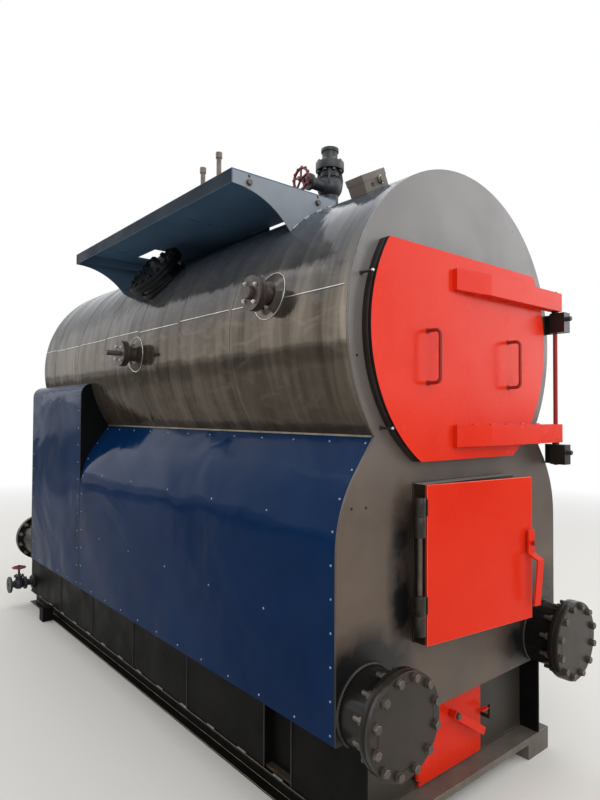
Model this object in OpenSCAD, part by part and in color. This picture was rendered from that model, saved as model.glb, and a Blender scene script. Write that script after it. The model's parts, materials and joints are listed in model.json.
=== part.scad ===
// Packaged horizontal shell boiler with a hand-fired furnace.
// Millimetres. +X is the right side seen from the front, +Y runs from the front
// plate to the rear, +Z is up. The origin is at ground level on the centreline,
// half way along the base.

/* [Body] */
// Length from the face of the front plate to the back of the rear plate
body_l = 3400; // [3360:10:3460]
// Width over the side cladding
body_w = 1450; // [1420:10:1500]
// Height of the lower edge of the cladding and of the front plate's ears
skirt_z = 474; // [460:2:490]
// Height of the lower edge of the front plate between the headers
apron_z = 450; // [440:2:460]
// Height at which the side cladding starts to lean inwards
flare_z = 1106; // [1060:2:1140]
// Radius of the arc by which the side cladding leans inwards
flare_r = 450; // [420:5:470]
// Height of the waist, where the side cladding meets the drum
waist_z = 1502; // [1480:2:1520]
// Length of the waisted part, from the front plate to the rear box
firebox_l = 2380; // [2250:10:2500]
// Top of the upright sides of the rear box
rear_box_z = 1700; // [1660:5:1740]
// Radius of the shoulder of the rear box
shoulder_r = 75; // [60:5:90]
// Thickness of the casing plates
plate_t = 10; // [8:1:12]
// Thickness of the cladding sheet
sheet_t = 3; // [2:0.5:4]

/* [Drum] */
// Diameter of the drum over its cladding
drum_d = 1350; // [1330:5:1370]
// Height of the drum's axis
drum_z = 1905; // [1890:5:1920]
// Outside diameter of the pressure shell
shell_d = 1200; // [1180:5:1220]
// Thickness of the pressure shell
shell_t = 12; // [10:1:16]
// Depth of the smokebox, from the front plate to the tube sheet
smokebox_l = 340; // [300:10:380]
// Thickness of the tube sheet
tube_sheet_t = 16; // [12:1:20]
// Distance of the drum's rear end in front of the back of the rear plate
drum_short = 100; // [60:10:150]
// Thickness of the rear drum end
drum_end_t = 20; // [16:1:30]
// Outside diameter of a fire tube
fire_tube_d = 64; // [57:1:70]
// Distance between the fire tubes
fire_tube_pitch = 100; // [94:1:110]

/* [Furnace] */
// Clear width of the furnace
furnace_w = 940; // [900:10:960]
// Thickness of the brick lining behind the front plate
front_lining_t = 90; // [70:5:110]
// Height of the top of the grate
grate_z = 630; // [610:5:650]
// Depth of a grate bar
grate_bar_h = 60; // [40:5:70]
// Thickness of the bridge wall at the back of the furnace
bridge_t = 90; // [70:5:110]

/* [Base] */
// How far the base reaches out behind the rear plate
base_tail = 470; // [420:10:500]
// Height of the skids and sills
skid_h = 100; // [90:2:110]
// Width of a skid
skid_w = 100; // [90:2:110]
// Distance from the centreline to the outside of a skid
skid_x = 588; // [580:1:600]
// Distance from the centreline to the end of a sill
sill_x = 665; // [650:5:700]
// Depth of the lip along the front of the front sill
sill_lip = 30; // [24:2:40]
// Distance of the rear outriggers in front of the back of the rear plate
rear_sill_in = 110; // [100:5:130]
// Width of the rear outriggers
rear_sill_w = 80; // [70:5:90]
// Thickness of the webs and flanges of the skids and sills
section_t = 8; // [6:1:10]
// Distance from the centreline to the outside of a base wall
base_wall_x = 582; // [576:1:586]
// Depth of the recess in front of the ash pit
ash_recess = 93; // [85:1:105]
// Near side of the air bay in each base wall, behind the front plate
air_bay_y = 407; // [380:5:430]
// Length of the air bay
air_bay_l = 181; // [160:1:200]
// How far the air bay is set inwards
air_bay_in = 40; // [30:2:50]

/* [Headers] */
// Distance from the centreline to the axis of a header
header_x = 580; // [576:1:584]
// Height of a header's axis
header_z = 572; // [565:1:578]
// Outside diameter of a header
header_d = 273; // [267:1:275]
// Diameter of the header flanges
flange_d = 345; // [340:5:370]
// Thickness of a header flange
flange_t = 24; // [20:1:28]
// Pitch circle of the bolts of a header flange
flange_pcd = 304; // [300:1:310]
// Diameter of the bolt holes of a header flange
flange_hole_d = 22; // [18:1:24]
// How far the headers reach out in front of the front plate
header_out = 180; // [160:5:200]
// How far the headers reach out behind the rear plate
header_tail = 317; // [280:1:340]

/* [Smokebox door] */
// Radius of the door
door_r = 583; // [575:1:590]
// Distance of the door's centre to the left of the drum's axis
door_left = 25; // [20:1:30]
// Height of the flat top of the door above its centre
door_flat_up = 318; // [300:2:330]
// Depth of the flat bottom of the door below its centre
door_flat_down = 492; // [480:2:500]
// Distance of the door's centre below the drum's axis
door_drop = 8; // [0:1:15]
// Width of the seat that the door closes on
door_seat_w = 34; // [28:1:40]
// Distance of the door's face in front of the front plate
door_face = 45; // [42:1:50]
// Thickness of the door plate
door_t = 16; // [12:1:18]
// Distance of the hinge rod to the right of the centreline
door_hinge_x = 625; // [620:1:630]
// Distance of the hinge rod in front of the front plate
door_hinge_out = 65; // [62:1:68]
// Diameter of the hinge rod
door_rod_d = 20; // [16:1:22]
// Height of a hinge arm
arm_h = 85; // [78:1:88]
// How far a hinge arm stands out from the door
arm_out = 43; // [38:1:48]
// Height of the upper arm's lower side
arm_high_z = 2070; // [2064:1:2075]
// Height of the lower arm's lower side
arm_low_z = 1455; // [1450:1:1460]
// Distance of the handles on either side of the door's centre
handle_x = 275; // [265:5:285]
// Height of the handles' lower feet
handle_z = 1700; // [1690:2:1710]
// Length of a handle between its feet
handle_l = 196; // [190:2:204]
// How far a handle stands out from the door
handle_out = 58; // [50:2:64]
// Radius of the handle bar
handle_r = 7; // [6:0.5:8]

/* [Fire door] */
// Distance of the fire door's left edge from the centreline
fire_left = 332; // [325:1:340]
// Width of the fire door
fire_w = 607; // [590:1:620]
// Height of the fire door's lower edge
fire_z = 734; // [725:1:745]
// Height of the fire door
fire_h = 588; // [570:1:600]
// Depth of the frame in front of the front plate
fire_frame_out = 54; // [50:1:60]
// Width of the frame's sides
fire_frame_w = 30; // [26:1:34]
// Thickness of the fire door plate
fire_t = 12; // [10:1:14]
// Distance of the hinge pins to the left of the fire door
fire_pin_left = 24; // [24:1:28]
// Radius of the hinge barrels
barrel_r = 22; // [18:1:22]
// Height of one half of a hinge barrel
barrel_h = 72; // [64:1:76]
// Angle by which the fire door stands open at rest
fire_ajar = 7; // [0:1:12]

/* [Ash door] */
// Distance of the ash door's left edge from the centreline
ash_left = 197; // [190:1:205]
// Width of the ash door
ash_w = 423; // [415:1:430]
// Height of the ash door's lower edge above the sill
ash_gap = 6; // [5:1:10]
// Height of the ash door
ash_h = 300; // [290:5:315]
// Angle by which the ash door's latch bar hangs down
ash_latch_angle = 33; // [30:1:35]

/* [Walkway] */
// Height of the deck
deck_z = 2570; // [2564:1:2578]
// Distance of the deck's outer edge from the centreline
deck_out = 796; // [785:1:806]
// Distance of the deck's inner edge from the centreline
deck_in = 218; // [210:1:226]
// Depth of the deck's edge
deck_edge = 60; // [50:1:70]
// Distance of the deck's near end behind the front plate
deck_y = 544; // [530:1:560]
// Length of the deck
deck_l = 1756; // [1700:2:1800]
// Distance from the centreline to the foot of the brackets' sweep
sweep_foot_x = 490; // [480:2:500]
// Thickness of the deck plate and its brackets
deck_t = 5; // [4:1:6]

/* [Fittings] */
// Diameter of the side nozzle flanges
nozzle_flange_d = 126; // [115:1:130]
// Distance of the manhole's axis behind the front plate
manhole_y = 1690; // [1670:5:1710]
// Diameter of the manhole cover
manhole_d = 360; // [350:2:370]
// Slope of the manhole's axis above the horizontal
manhole_angle = 41; // [40:1:42]
// Distance of the steam valve behind the front plate
steam_y = 830; // [820:5:860]
// Diameter of the steam valve's flanges
steam_flange_d = 148; // [140:2:156]
// Diameter of the steam valve's handwheel
steam_wheel_d = 122; // [110:2:130]
// Diameter of the blowdown valve's handwheel
blow_wheel_d = 100; // [90:2:110]
// Inside diameter of the flue outlet at the rear
flue_d = 400; // [380:5:420]

/* [Hidden] */
$fn = 64;

seat_gap = 0.3;          // between a closed door and its seat
slack = 0.5;             // round a pipe where it passes through a wall
swing_gap = 10;          // round a door's lining in its opening
base_l = body_l + base_tail;  // length of the base from the front plate on
front_y = -base_l / 2;        // face of the front plate
base_end = base_l / 2;        // rear end of the base
rear_y = front_y + body_l;    // back of the rear plate
drum_end = rear_y - drum_short;  // rear end of the drum
half_w = body_w / 2;
drum_r = drum_d / 2;
shell_r = shell_d / 2;
eps = 0.01;

// Side wall outline, worked out from a tangent between the lean-in arc and the waist
arc_x = half_w - flare_r;
waist_x = sqrt(drum_r * drum_r - (drum_z - waist_z) * (drum_z - waist_z));
waist_dist = norm([waist_x - arc_x, waist_z - flare_z]);
lean_angle = atan2(waist_z - flare_z, waist_x - arc_x) - acos(flare_r / waist_dist);

// Point on the lean-in arc where the straight part starts, for an outline set in by inset
function lean_start(inset) = [
    arc_x + (flare_r - inset) * cos(lean_angle),
    flare_z + (flare_r - inset) * sin(lean_angle)
];

// Half width of that outline at the waist
function waist_half(inset) =
    lean_start(inset).x - (waist_z - lean_start(inset).y) * tan(lean_angle);

// Height of the drum's surface at a distance from the centreline
function drum_top(x) = drum_z + sqrt(drum_r * drum_r - x * x);

door_cx = -door_left;
door_cz = drum_z - door_drop;
door_back = door_face - door_t;
fire_axis = [-fire_left - fire_pin_left, front_y - fire_frame_out + 2];
fire_face = front_y - fire_frame_out - seat_gap - fire_t;
fire_top_z = fire_z + fire_h;
barrel_low_z = 775;
barrel_high_z = 1132;
lever_x = -fire_left + 577;
lever_z = 1052;
lever_w = 38;
lever_t = 8;
ash_face_y = front_y + ash_recess;
ash_door_t = 12;
ash_z = skid_h + ash_gap;
ash_right = ash_w - ash_left;
ash_hinge = [-ash_left - 18, ash_face_y - ash_door_t - seat_gap - 10];
ash_pivot = [5, 338];
ash_bar_l = 232;
ash_bar_out = 40;
header_wall_z = header_z - header_d / 2 - 1;
tail_z = header_z - flange_d / 2 - 6;  // top of the base behind the rear plate
deck_hole_x = [485, 345];
deck_hole_y = [1850, 2090];
nozzle_places = [[471, 2057], [1690, 1909]];
nozzle_out = 78;
nozzle_stubs = [16, 72];
steam_z = [2580, 2703, 2827, 2850, 2892, 2967];
steam_wheel = [-196, 2761];
box_lean = 27;
box_size = [144, 90, 70];
riser_x = -145;
riser_places = [[1685, 3195], [1876, 3160]];
blow_y = base_end - 59;
blow_z = 184;
blow_wheel = [-699, 316];
blow_end_x = -776;
flue_z = drum_z + 205;
stub_y = rear_y - rear_sill_in;
tube_stub_l = 420;

// Extrudes a shape drawn across the boiler, x against z, from y over a length
module along_y(y, length) {
    translate([0, y + length, 0])
        rotate([90, 0, 0])
            linear_extrude(length)
                children();
}

// Cylinder along Y, from y over a length, with its axis at x and z
module rod_y(x, y, z, r, length) {
    translate([x, y + length, z])
        rotate([90, 0, 0])
            cylinder(r = r, h = length);
}

// Cylinder along X, from x over a length, with its axis at y and z
module rod_x(x, y, z, r, length) {
    translate([x, y, z])
        rotate([0, 90, 0])
            cylinder(r = r, h = length);
}

// Block from one corner to the opposite one
module block(low, high) {
    translate(low)
        cube(high - low);
}

module mirrored(side) {
    if (side < 0) children();
    else mirror([1, 0, 0]) children();
}

// Outline of the waisted lower body, set in by inset
module flank_outline(inset) {
    start = lean_start(inset);
    half = half_w - inset;
    translate([-half, skirt_z])
        square([2 * half, flare_z - skirt_z]);
    for (side = [-1, 1])
        intersection() {
            translate([side * arc_x, flare_z])
                circle(r = flare_r - inset);
            translate([-half - 1, flare_z - 1])
                square([2 * half + 2, start.y - flare_z + 1]);
        }
    polygon([
        [-start.x, start.y], [-waist_half(inset), waist_z],
        [waist_half(inset), waist_z], [start.x, start.y],
        [arc_x, flare_z], [-arc_x, flare_z]
    ]);
}

// Outline of the upright rear box below the drum, set in by inset
module rear_box_outline(inset) {
    half = half_w - inset;
    translate([-half, skirt_z])
        square([2 * half, rear_box_z - skirt_z]);
    for (side = [-1, 1])
        translate([side * (half_w - shoulder_r), rear_box_z])
            circle(r = shoulder_r - inset);
    translate([shoulder_r - half_w, rear_box_z])
        square([2 * (half_w - shoulder_r), shoulder_r - inset]);
}

module drum_disc(r) {
    translate([0, drum_z])
        circle(r = r, $fn = 240);
}

// Outline of the smokebox door, grown by grow
module door_outline(grow) {
    translate([door_cx, door_cz])
        intersection() {
            circle(r = door_r + grow);
            translate([-2 * door_r, -door_flat_down - grow])
                square([4 * door_r, door_flat_up + door_flat_down + 2 * grow]);
        }
}

// Fire door opening, seen from the front, grown by grow
module fire_outline(grow) {
    translate([-fire_left - grow, fire_z - grow])
        square([fire_w + 2 * grow, fire_h + 2 * grow]);
}

module header_holes() {
    for (side = [-1, 1])
        translate([side * header_x, header_z])
            circle(d = header_d + 2 * slack);
}

// Base

module skid(side) {
    color("#1c1d1f")
        mirrored(side)
            along_y(front_y + ash_recess, base_l - ash_recess)
                difference() {
                    translate([-skid_x, 0])
                        square([skid_w, skid_h]);
                    translate([-skid_x - 1, section_t])
                        square([(skid_w - section_t) / 2 + 1, skid_h - 2 * section_t]);
                    translate([-skid_x + (skid_w + section_t) / 2, section_t])
                        square([skid_w / 2, skid_h - 2 * section_t]);
                }
}

// Bridge across the front of the base: a plate between two closed outriggers
module front_sill() {
    inner = skid_x - skid_w;
    color("#2a2826")
        difference() {
            block([-sill_x, front_y, 0], [sill_x, front_y + ash_recess, skid_h]);
            block([-inner, front_y - 1, -1],
                  [inner, front_y + section_t + 1, skid_h - sill_lip]);
            block([-inner, front_y + section_t, -1],
                  [inner, front_y + ash_recess + 1, skid_h - section_t]);
        }
}

// Cross-member between the skids near the rear, with its outriggers outside them
module rear_sill() {
    inner = skid_x - skid_w;
    color("#2a2826")
        union() {
            block([-inner, stub_y, 0], [inner, stub_y + rear_sill_w, skid_h]);
            block([-sill_x, stub_y, 0], [-skid_x, stub_y + rear_sill_w, skid_h]);
            block([skid_x, stub_y, 0], [sill_x, stub_y + rear_sill_w, skid_h]);
        }
}

module mid_cross_member() {
    inner = skid_x - skid_w / 2 - section_t / 2;
    color("#1c1d1f")
        difference() {
            block([-inner + skid_w / 2, -skid_w / 2, 0],
                  [inner - skid_w / 2, skid_w / 2, skid_h]);
            for (side = [-1, 1])
                scale([1, side, 1])
                    block([-inner, section_t / 2, section_t],
                          [inner, skid_w, skid_h - section_t]);
        }
}

module ash_pit_floor() {
    color("#3a3836")
        block([-base_wall_x + plate_t, ash_face_y, skid_h],
              [base_wall_x - plate_t, base_end - plate_t, skid_h + plate_t]);
}

// Base wall seen from above: a plate with an air bay set inwards, lower behind
// the rear plate, where the header flanges stand over it
module base_wall(side) {
    bay = front_y + air_bay_y;
    out = -base_wall_x;
    floor_z = skid_h + plate_t;
    color("#232325")
        mirrored(side) {
            block([out, front_y, skid_h], [out + plate_t, bay, header_wall_z]);
            block([out, bay + air_bay_l, skid_h], [out + plate_t, rear_y, header_wall_z]);
            block([out, rear_y - 1, skid_h], [out + plate_t, base_end, tail_z]);
            for (y = [bay - plate_t, bay + air_bay_l])
                block([out, y, floor_z], [out + air_bay_in + plate_t, y + plate_t, header_wall_z]);
            block([out + air_bay_in, bay - plate_t, floor_z],
                  [out + air_bay_in + plate_t, bay + air_bay_l + plate_t, header_wall_z]);
        }
}

module ash_pit_front() {
    inner = base_wall_x - plate_t;
    color("#2b2a29")
        union() {
            difference() {
                block([-inner, ash_face_y, skid_h + plate_t],
                      [inner, ash_face_y + plate_t, apron_z]);
                block([-ash_left + 25, ash_face_y - 1, ash_z + 25],
                      [ash_right - 25, ash_face_y + plate_t + 1, ash_z + ash_h - 25]);
                for (side = [-1, 1])
                    rod_y(side * header_x, ash_face_y - 1, header_z,
                          header_d / 2 + slack, plate_t + 2);
            }
            block([-header_x + header_d / 2 + slack, front_y + plate_t, apron_z],
                  [header_x - header_d / 2 - slack, ash_face_y + plate_t, apron_z + plate_t]);
        }
}

// Rear end of the base and the lid over the part of it behind the body
module ash_pit_back() {
    inner = base_wall_x - plate_t;
    color("#2b2a29")
        union() {
            block([-inner, base_end - plate_t, skid_h], [inner, base_end, tail_z]);
            block([-inner, rear_y - plate_t, tail_z - plate_t], [inner, base_end, tail_z]);
        }
}

// Furnace

module grate() {
    low = front_y + plate_t;
    high = front_y + firebox_l - bridge_t;
    bars = 20;
    width = 2 * (header_x - header_d / 2) - 10;
    step = width / bars;
    color("#3b3632")
        for (i = [0 : bars - 1])
            block([-width / 2 + step * (i + 0.14), low, grate_z - grate_bar_h],
                  [-width / 2 + step * (i + 0.86), high, grate_z]);
}

module wall_lining(side) {
    inner = base_wall_x - plate_t - air_bay_in;
    low = ash_face_y + plate_t;
    color("#a98f73")
        mirrored(side)
            difference() {
                union() {
                    along_y(front_y + plate_t, firebox_l - plate_t)
                        intersection() {
                            flank_outline(sheet_t);
                            translate([-half_w, skirt_z])
                                square([half_w - furnace_w / 2, waist_z - skirt_z]);
                        }
                    along_y(low, front_y + firebox_l - low)
                        translate([-inner + plate_t, skid_h + plate_t])
                            square([inner - plate_t - furnace_w / 2, skirt_z - skid_h]);
                }
                along_y(front_y, firebox_l + 1)
                    union() {
                        drum_disc(shell_r + slack);
                        header_holes();
                        translate([-half_w, skirt_z - 1])
                            square([half_w - header_x, header_z - skirt_z]);
                    }
            }
}

module front_lining() {
    color("#b39a7c")
        along_y(front_y + plate_t, front_lining_t)
            difference() {
                translate([-furnace_w / 2, grate_z])
                    square([furnace_w, waist_z - grate_z]);
                drum_disc(shell_r + slack);
                fire_outline(-fire_frame_w);
                header_holes();
            }
}

module bridge_wall() {
    color("#a98f73")
        along_y(front_y + firebox_l - bridge_t, bridge_t)
            difference() {
                translate([-furnace_w / 2, skid_h + plate_t])
                    square([furnace_w, waist_z - skid_h - plate_t]);
                drum_disc(shell_r + slack);
                header_holes();
            }
}

// Casing

module front_plate() {
    color("#4b4743")
        along_y(front_y, plate_t)
            difference() {
                union() {
                    drum_disc(drum_r);
                    flank_outline(0);
                    translate([-header_x, apron_z])
                        square([2 * header_x, skirt_z - apron_z + 1]);
                }
                door_outline(-door_seat_w);
                fire_outline(-fire_frame_w);
                header_holes();
            }
}

// Sheet between an outline and the same outline set in by the sheet's thickness,
// with a return along its lower edge
module side_cladding(side) {
    color("#162d5f")
        mirrored(side)
            along_y(front_y + plate_t, firebox_l - plate_t)
                intersection() {
                    difference() {
                        flank_outline(0);
                        flank_outline(sheet_t);
                    }
                    translate([-half_w - 1, skirt_z - 1])
                        square([half_w, waist_z]);
                }
}

module rear_box_face() {
    color("#202123")
        along_y(front_y + firebox_l, plate_t)
            difference() {
                rear_box_outline(0);
                drum_disc(drum_r + slack);
                translate([-furnace_w / 2, skirt_z - 1])
                    square([furnace_w, waist_z]);
                header_holes();
            }
}

// Sheet over one half of the rear box, cut out round the drum
module rear_box_cladding(side) {
    low = front_y + firebox_l + plate_t;
    color("#162d5f")
        mirrored(side)
            difference() {
                along_y(low, rear_y - plate_t - low)
                    intersection() {
                        difference() {
                            rear_box_outline(0);
                            rear_box_outline(sheet_t);
                        }
                        translate([-half_w - 1, skirt_z - 1])
                            square([half_w + 1, drum_z]);
                    }
                along_y(low - 1, drum_end + slack - low + 1)
                    drum_disc(drum_r + slack);
            }
}

// Rear of the casing, with a tongue down to the lid of the base
module rear_plate() {
    inner = base_wall_x - plate_t;
    color("#2b2a29")
        along_y(rear_y - plate_t, plate_t)
            difference() {
                union() {
                    rear_box_outline(0);
                    translate([-inner, tail_z])
                        square([2 * inner, skirt_z - tail_z + 1]);
                }
                header_holes();
            }
}

// Drum

module ring_y(y, length, outer, inner) {
    along_y(y, length)
        difference() {
            drum_disc(outer);
            drum_disc(inner);
        }
}

module smokebox_shell() {
    color("#34312f")
        ring_y(front_y + plate_t, smokebox_l - plate_t, shell_r, shell_r - shell_t);
}

module drum_shell() {
    low = front_y + smokebox_l + tube_sheet_t;
    color("#34312f")
        ring_y(low, drum_end - drum_end_t - low, shell_r, shell_r - shell_t);
}

// Jacket round the drum, ending at the waist where the side cladding takes over
module jacket(y, length) {
    along_y(y, length)
        difference() {
            drum_disc(drum_r);
            drum_disc(shell_r + slack);
            translate([-half_w, waist_z - drum_d])
                square([body_w, drum_d]);
        }
}

module smokebox_cladding() {
    color("#8d9092")
        jacket(front_y + plate_t, smokebox_l - plate_t);
}

module drum_cladding() {
    low = front_y + smokebox_l;
    color("#8d9092")
        jacket(low, drum_end - low);
}

module drum_rear_cover() {
    color("#8d9092")
        difference() {
            along_y(drum_end - drum_end_t, drum_end_t)
                drum_disc(shell_r);
            rod_y(0, drum_end - drum_end_t - 1, flue_z, flue_d / 2 + slack, drum_end_t + 2);
        }
}

// Places of the fire tubes: rows across the drum that stay clear of its wall
function tube_places() = [
    for (row = [-4 : 4], col = [-5 : 5])
        let (x = (col + (row % 2 == 0 ? 0 : 0.5)) * fire_tube_pitch,
             z = row * fire_tube_pitch * 0.87 - 60)
            if (norm([x, z]) < shell_r - shell_t - fire_tube_d * 0.9) [x, drum_z + z]
];

module tube_sheet() {
    color("#4a3a30")
        along_y(front_y + smokebox_l, tube_sheet_t)
            difference() {
                drum_disc(shell_r);
                for (p = tube_places())
                    translate(p)
                        circle(d = fire_tube_d + 0.4);
            }
}

module fire_tubes() {
    low = front_y + smokebox_l - 5;
    color("#6b5646")
        for (p = tube_places())
            translate([p.x, low + tube_stub_l, p.y])
                rotate([90, 0, 0])
                    difference() {
                        cylinder(d = fire_tube_d, h = tube_stub_l);
                        translate([0, 0, -1])
                            cylinder(d = fire_tube_d - 8, h = tube_stub_l + 2);
                    }
}

// Headers

// Closed at both ends by its blinds, so it is solid
module header(side) {
    low = front_y - header_out + flange_t + seat_gap;
    high = rear_y + header_tail - flange_t - seat_gap;
    color("#17181a")
        difference() {
            union() {
                rod_y(side * header_x, low, header_z, header_d / 2, high - low);
                for (y = [low, high - flange_t])
                    rod_y(side * header_x, y, header_z, flange_d / 2, flange_t);
            }
            for (y = [low - 1, high - flange_t - 1])
                flange_holes(side, y, flange_t + 2);
        }
}

module flange_holes(side, y, length) {
    for (i = [0 : 11])
        rod_y(side * header_x + flange_pcd / 2 * cos(i * 30 + 15), y,
              header_z + flange_pcd / 2 * sin(i * 30 + 15), flange_hole_d / 2, length);
}

module header_blinds() {
    color("#3a3531")
        for (side = [-1, 1], y = [front_y - header_out, rear_y + header_tail - flange_t])
            difference() {
                rod_y(side * header_x, y, header_z, flange_d / 2, flange_t);
                flange_holes(side, y - 1, flange_t + 2);
            }
}

// Smokebox door

module smokebox_seat() {
    color("#17181a")
        along_y(front_y - door_back + seat_gap, door_back - seat_gap)
            difference() {
                door_outline(0);
                door_outline(-door_seat_w);
            }
}

module smokebox_hinge_brackets() {
    back = 49;
    front = 120;
    width = 44;
    color("#17181a")
        for (z = [arm_high_z, arm_low_z])
            difference() {
                union() {
                    block([door_hinge_x - width / 2, front_y - front, z - 102],
                          [door_hinge_x + width / 2, front_y - back, z - 10]);
                    block([door_hinge_x + width / 2, front_y - front, z - 102],
                          [door_hinge_x + width / 2 + plate_t, front_y, z - 10]);
                    translate([door_hinge_x, front_y - door_hinge_out, z - 10])
                        cylinder(r = door_rod_d / 2 + 6, h = 10 - seat_gap);
                }
                translate([door_hinge_x, front_y - door_hinge_out, z - 103])
                    cylinder(r = door_rod_d / 2 + 0.1, h = 110);
            }
}

module smokebox_door() {
    color("#e0402c")
        along_y(front_y - door_face, door_t)
            door_outline(0);
}

module smokebox_door_lining() {
    color("#b9a88e")
        along_y(front_y - door_back, door_back + 10)
            door_outline(-door_seat_w - swing_gap);
}

// Hinge arm: thin where it starts on the door, full depth past the kink
module smokebox_door_arms() {
    left = -145;
    kink = 59;
    right = door_hinge_x + 22;
    color("#e0402c")
        for (z = [arm_high_z, arm_low_z])
            difference() {
                translate([0, front_y - door_face, z])
                    linear_extrude(arm_h)
                        polygon([
                            [left, 0], [left, -20], [kink, -arm_out],
                            [right, -arm_out], [right, 0]
                        ]);
                translate([door_hinge_x, front_y - door_hinge_out, z - 1])
                    cylinder(r = door_rod_d / 2, h = arm_h + 2);
            }
}

module smokebox_hinge_rod() {
    low = arm_low_z - 106;
    color("#a8322a")
        translate([door_hinge_x, front_y - door_hinge_out, low])
            cylinder(r = door_rod_d / 2, h = arm_high_z + arm_h + 8 - low);
}

// U-shaped handle of round bar, drawn up from its lower foot
module bar_handle(x, z, length, out, r) {
    bend = 3 * r;
    translate([x, front_y - door_face, z])
        union() {
            for (dz = [0, length])
                rotate([90, 0, 0])
                    translate([0, dz, 0])
                        cylinder(r = r, h = out - bend);
            translate([0, -out, bend])
                cylinder(r = r, h = length - 2 * bend);
            translate([0, bend - out, bend])
                rotate([0, 90, 0])
                    rotate([0, 0, -90])
                        rotate_extrude(angle = 90)
                            translate([bend, 0])
                                circle(r = r);
            translate([0, bend - out, length - bend])
                rotate([0, 90, 0])
                    rotate([0, 0, 180])
                        rotate_extrude(angle = 90)
                            translate([bend, 0])
                                circle(r = r);
        }
}

module smokebox_door_handles() {
    color("#a8281e")
        for (side = [-1, 1])
            bar_handle(door_cx + side * handle_x, handle_z, handle_l, handle_out, handle_r);
}

// Fire door

// Frame with the lower half of each hinge barrel and the pin for the upper half
module fire_door_frame() {
    color("#17181a")
        union() {
            along_y(front_y - fire_frame_out, fire_frame_out)
                difference() {
                    fire_outline(0);
                    fire_outline(-fire_frame_w);
                }
            for (z = [barrel_low_z, barrel_high_z]) {
                translate([fire_axis.x, fire_axis.y, z])
                    cylinder(r = barrel_r, h = barrel_h);
                translate([fire_axis.x, fire_axis.y, z])
                    cylinder(r = 10, h = 2 * barrel_h - 6);
                block([fire_axis.x, fire_axis.y + 4, z],
                      [-fire_left + 1, fire_axis.y + 16, z + barrel_h]);
            }
        }
}

module on_fire_door() {
    translate([fire_axis.x, fire_axis.y, 0])
        rotate([0, 0, -fire_ajar])
            translate([-fire_axis.x, -fire_axis.y, 0])
                children();
}

module fire_door() {
    color("#e2301c")
        on_fire_door()
            along_y(fire_face, fire_t)
                fire_outline(0);
}

// Upper half of each hinge barrel, which turns with the door
module fire_door_knuckles() {
    color("#17181a")
        on_fire_door()
            for (z = [barrel_low_z, barrel_high_z])
                difference() {
                    union() {
                        translate([fire_axis.x, fire_axis.y, z + barrel_h + seat_gap])
                            cylinder(r = barrel_r, h = barrel_h);
                        block([fire_axis.x, fire_face, z + barrel_h + seat_gap],
                              [-fire_left, fire_face + fire_t, z + 2 * barrel_h + seat_gap]);
                    }
                    translate([fire_axis.x, fire_axis.y, z + barrel_h - 1])
                        cylinder(r = 10.1, h = barrel_h - 4);
                }
}

module fire_door_lining() {
    color("#b9a88e")
        on_fire_door()
            along_y(fire_face + fire_t, 44)
                fire_outline(-fire_frame_w - swing_gap);
}

// Latch lever: an upright strap on a pin, cranked out to a hand grip below
module fire_door_latch() {
    back = fire_face - 12;
    color("#d23322")
        on_fire_door()
            union() {
                translate([lever_x - lever_w / 2, 0, 0])
                    rotate([90, 0, 90])
                        linear_extrude(lever_w)
                            polygon([
                                [back, 1105], [back, 1002], [back - 45, 985],
                                [back - 28, 800], [back - 28 - lever_t, 800],
                                [back - 45 - lever_t, 990], [back - lever_t, 1010],
                                [back - lever_t, 1105]
                            ]);
                rod_y(lever_x, back, lever_z, 11, 12 - seat_gap);
                rod_y(lever_x, back - lever_t - 8, lever_z, 9, 8);
            }
}

// Ash door

module ash_door() {
    color("#e2301c")
        difference() {
            union() {
                block([-ash_left, ash_face_y - seat_gap - ash_door_t, ash_z],
                      [ash_right, ash_face_y - seat_gap, ash_z + ash_h]);
                for (z = [ash_z + 40, ash_z + ash_h - 90]) {
                    translate([ash_hinge.x, ash_hinge.y, z])
                        cylinder(r = 12, h = 50);
                    block([ash_hinge.x, ash_hinge.y, z],
                          [-ash_left + 1, ash_face_y - seat_gap - 2, z + 50]);
                }
            }
            translate([ash_hinge.x, ash_hinge.y, ash_z])
                cylinder(r = 6.1, h = ash_h);
        }
}

// Pivot bar that drops clear of the keeper when the door is unlatched
module ash_door_latch() {
    face = ash_face_y - seat_gap - ash_door_t;
    color("#e2301c")
        translate([ash_pivot.x, face - seat_gap, ash_pivot.y])
            union() {
                rotate([90, 0, 0])
                    cylinder(r = 14, h = ash_bar_out);
                rotate([0, ash_latch_angle, 0])
                    translate([-16, -ash_bar_out, -16])
                        cube([ash_bar_l + 16, 8, 32]);
            }
}

// Fixed ironwork round the ash door: the hook for the bar and the hinge pins
module ash_door_keeper() {
    hook_x = ash_right + 17;
    hook_z = 248;
    color("#17181a")
        union() {
            block([hook_x, ash_face_y - 48, hook_z], [hook_x + 10, ash_face_y, hook_z + 12]);
            block([hook_x, ash_face_y - 48, hook_z + 12],
                  [hook_x + 10, ash_face_y - 38, hook_z + 58]);
            for (z = [ash_z + 40, ash_z + ash_h - 90]) {
                translate([ash_hinge.x, ash_hinge.y, z - 8])
                    cylinder(r = 6, h = 58);
                block([ash_hinge.x - 8, ash_hinge.y - 8, z - 8],
                      [ash_hinge.x + 8, ash_face_y, z - seat_gap]);
            }
        }
}

// Walkway

module walkway_deck() {
    low = front_y + deck_y;
    color("#2c3540")
        difference() {
            union() {
                block([-deck_out, low, deck_z - deck_t], [-deck_in, low + deck_l, deck_z]);
                block([-deck_out, low, deck_z - deck_edge],
                      [-deck_out + deck_t, low + deck_l, deck_z]);
            }
            block([-deck_hole_x[0], front_y + deck_hole_y[0], deck_z - deck_t - 1],
                  [-deck_hole_x[1], front_y + deck_hole_y[1], deck_z + 1]);
        }
}

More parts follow.
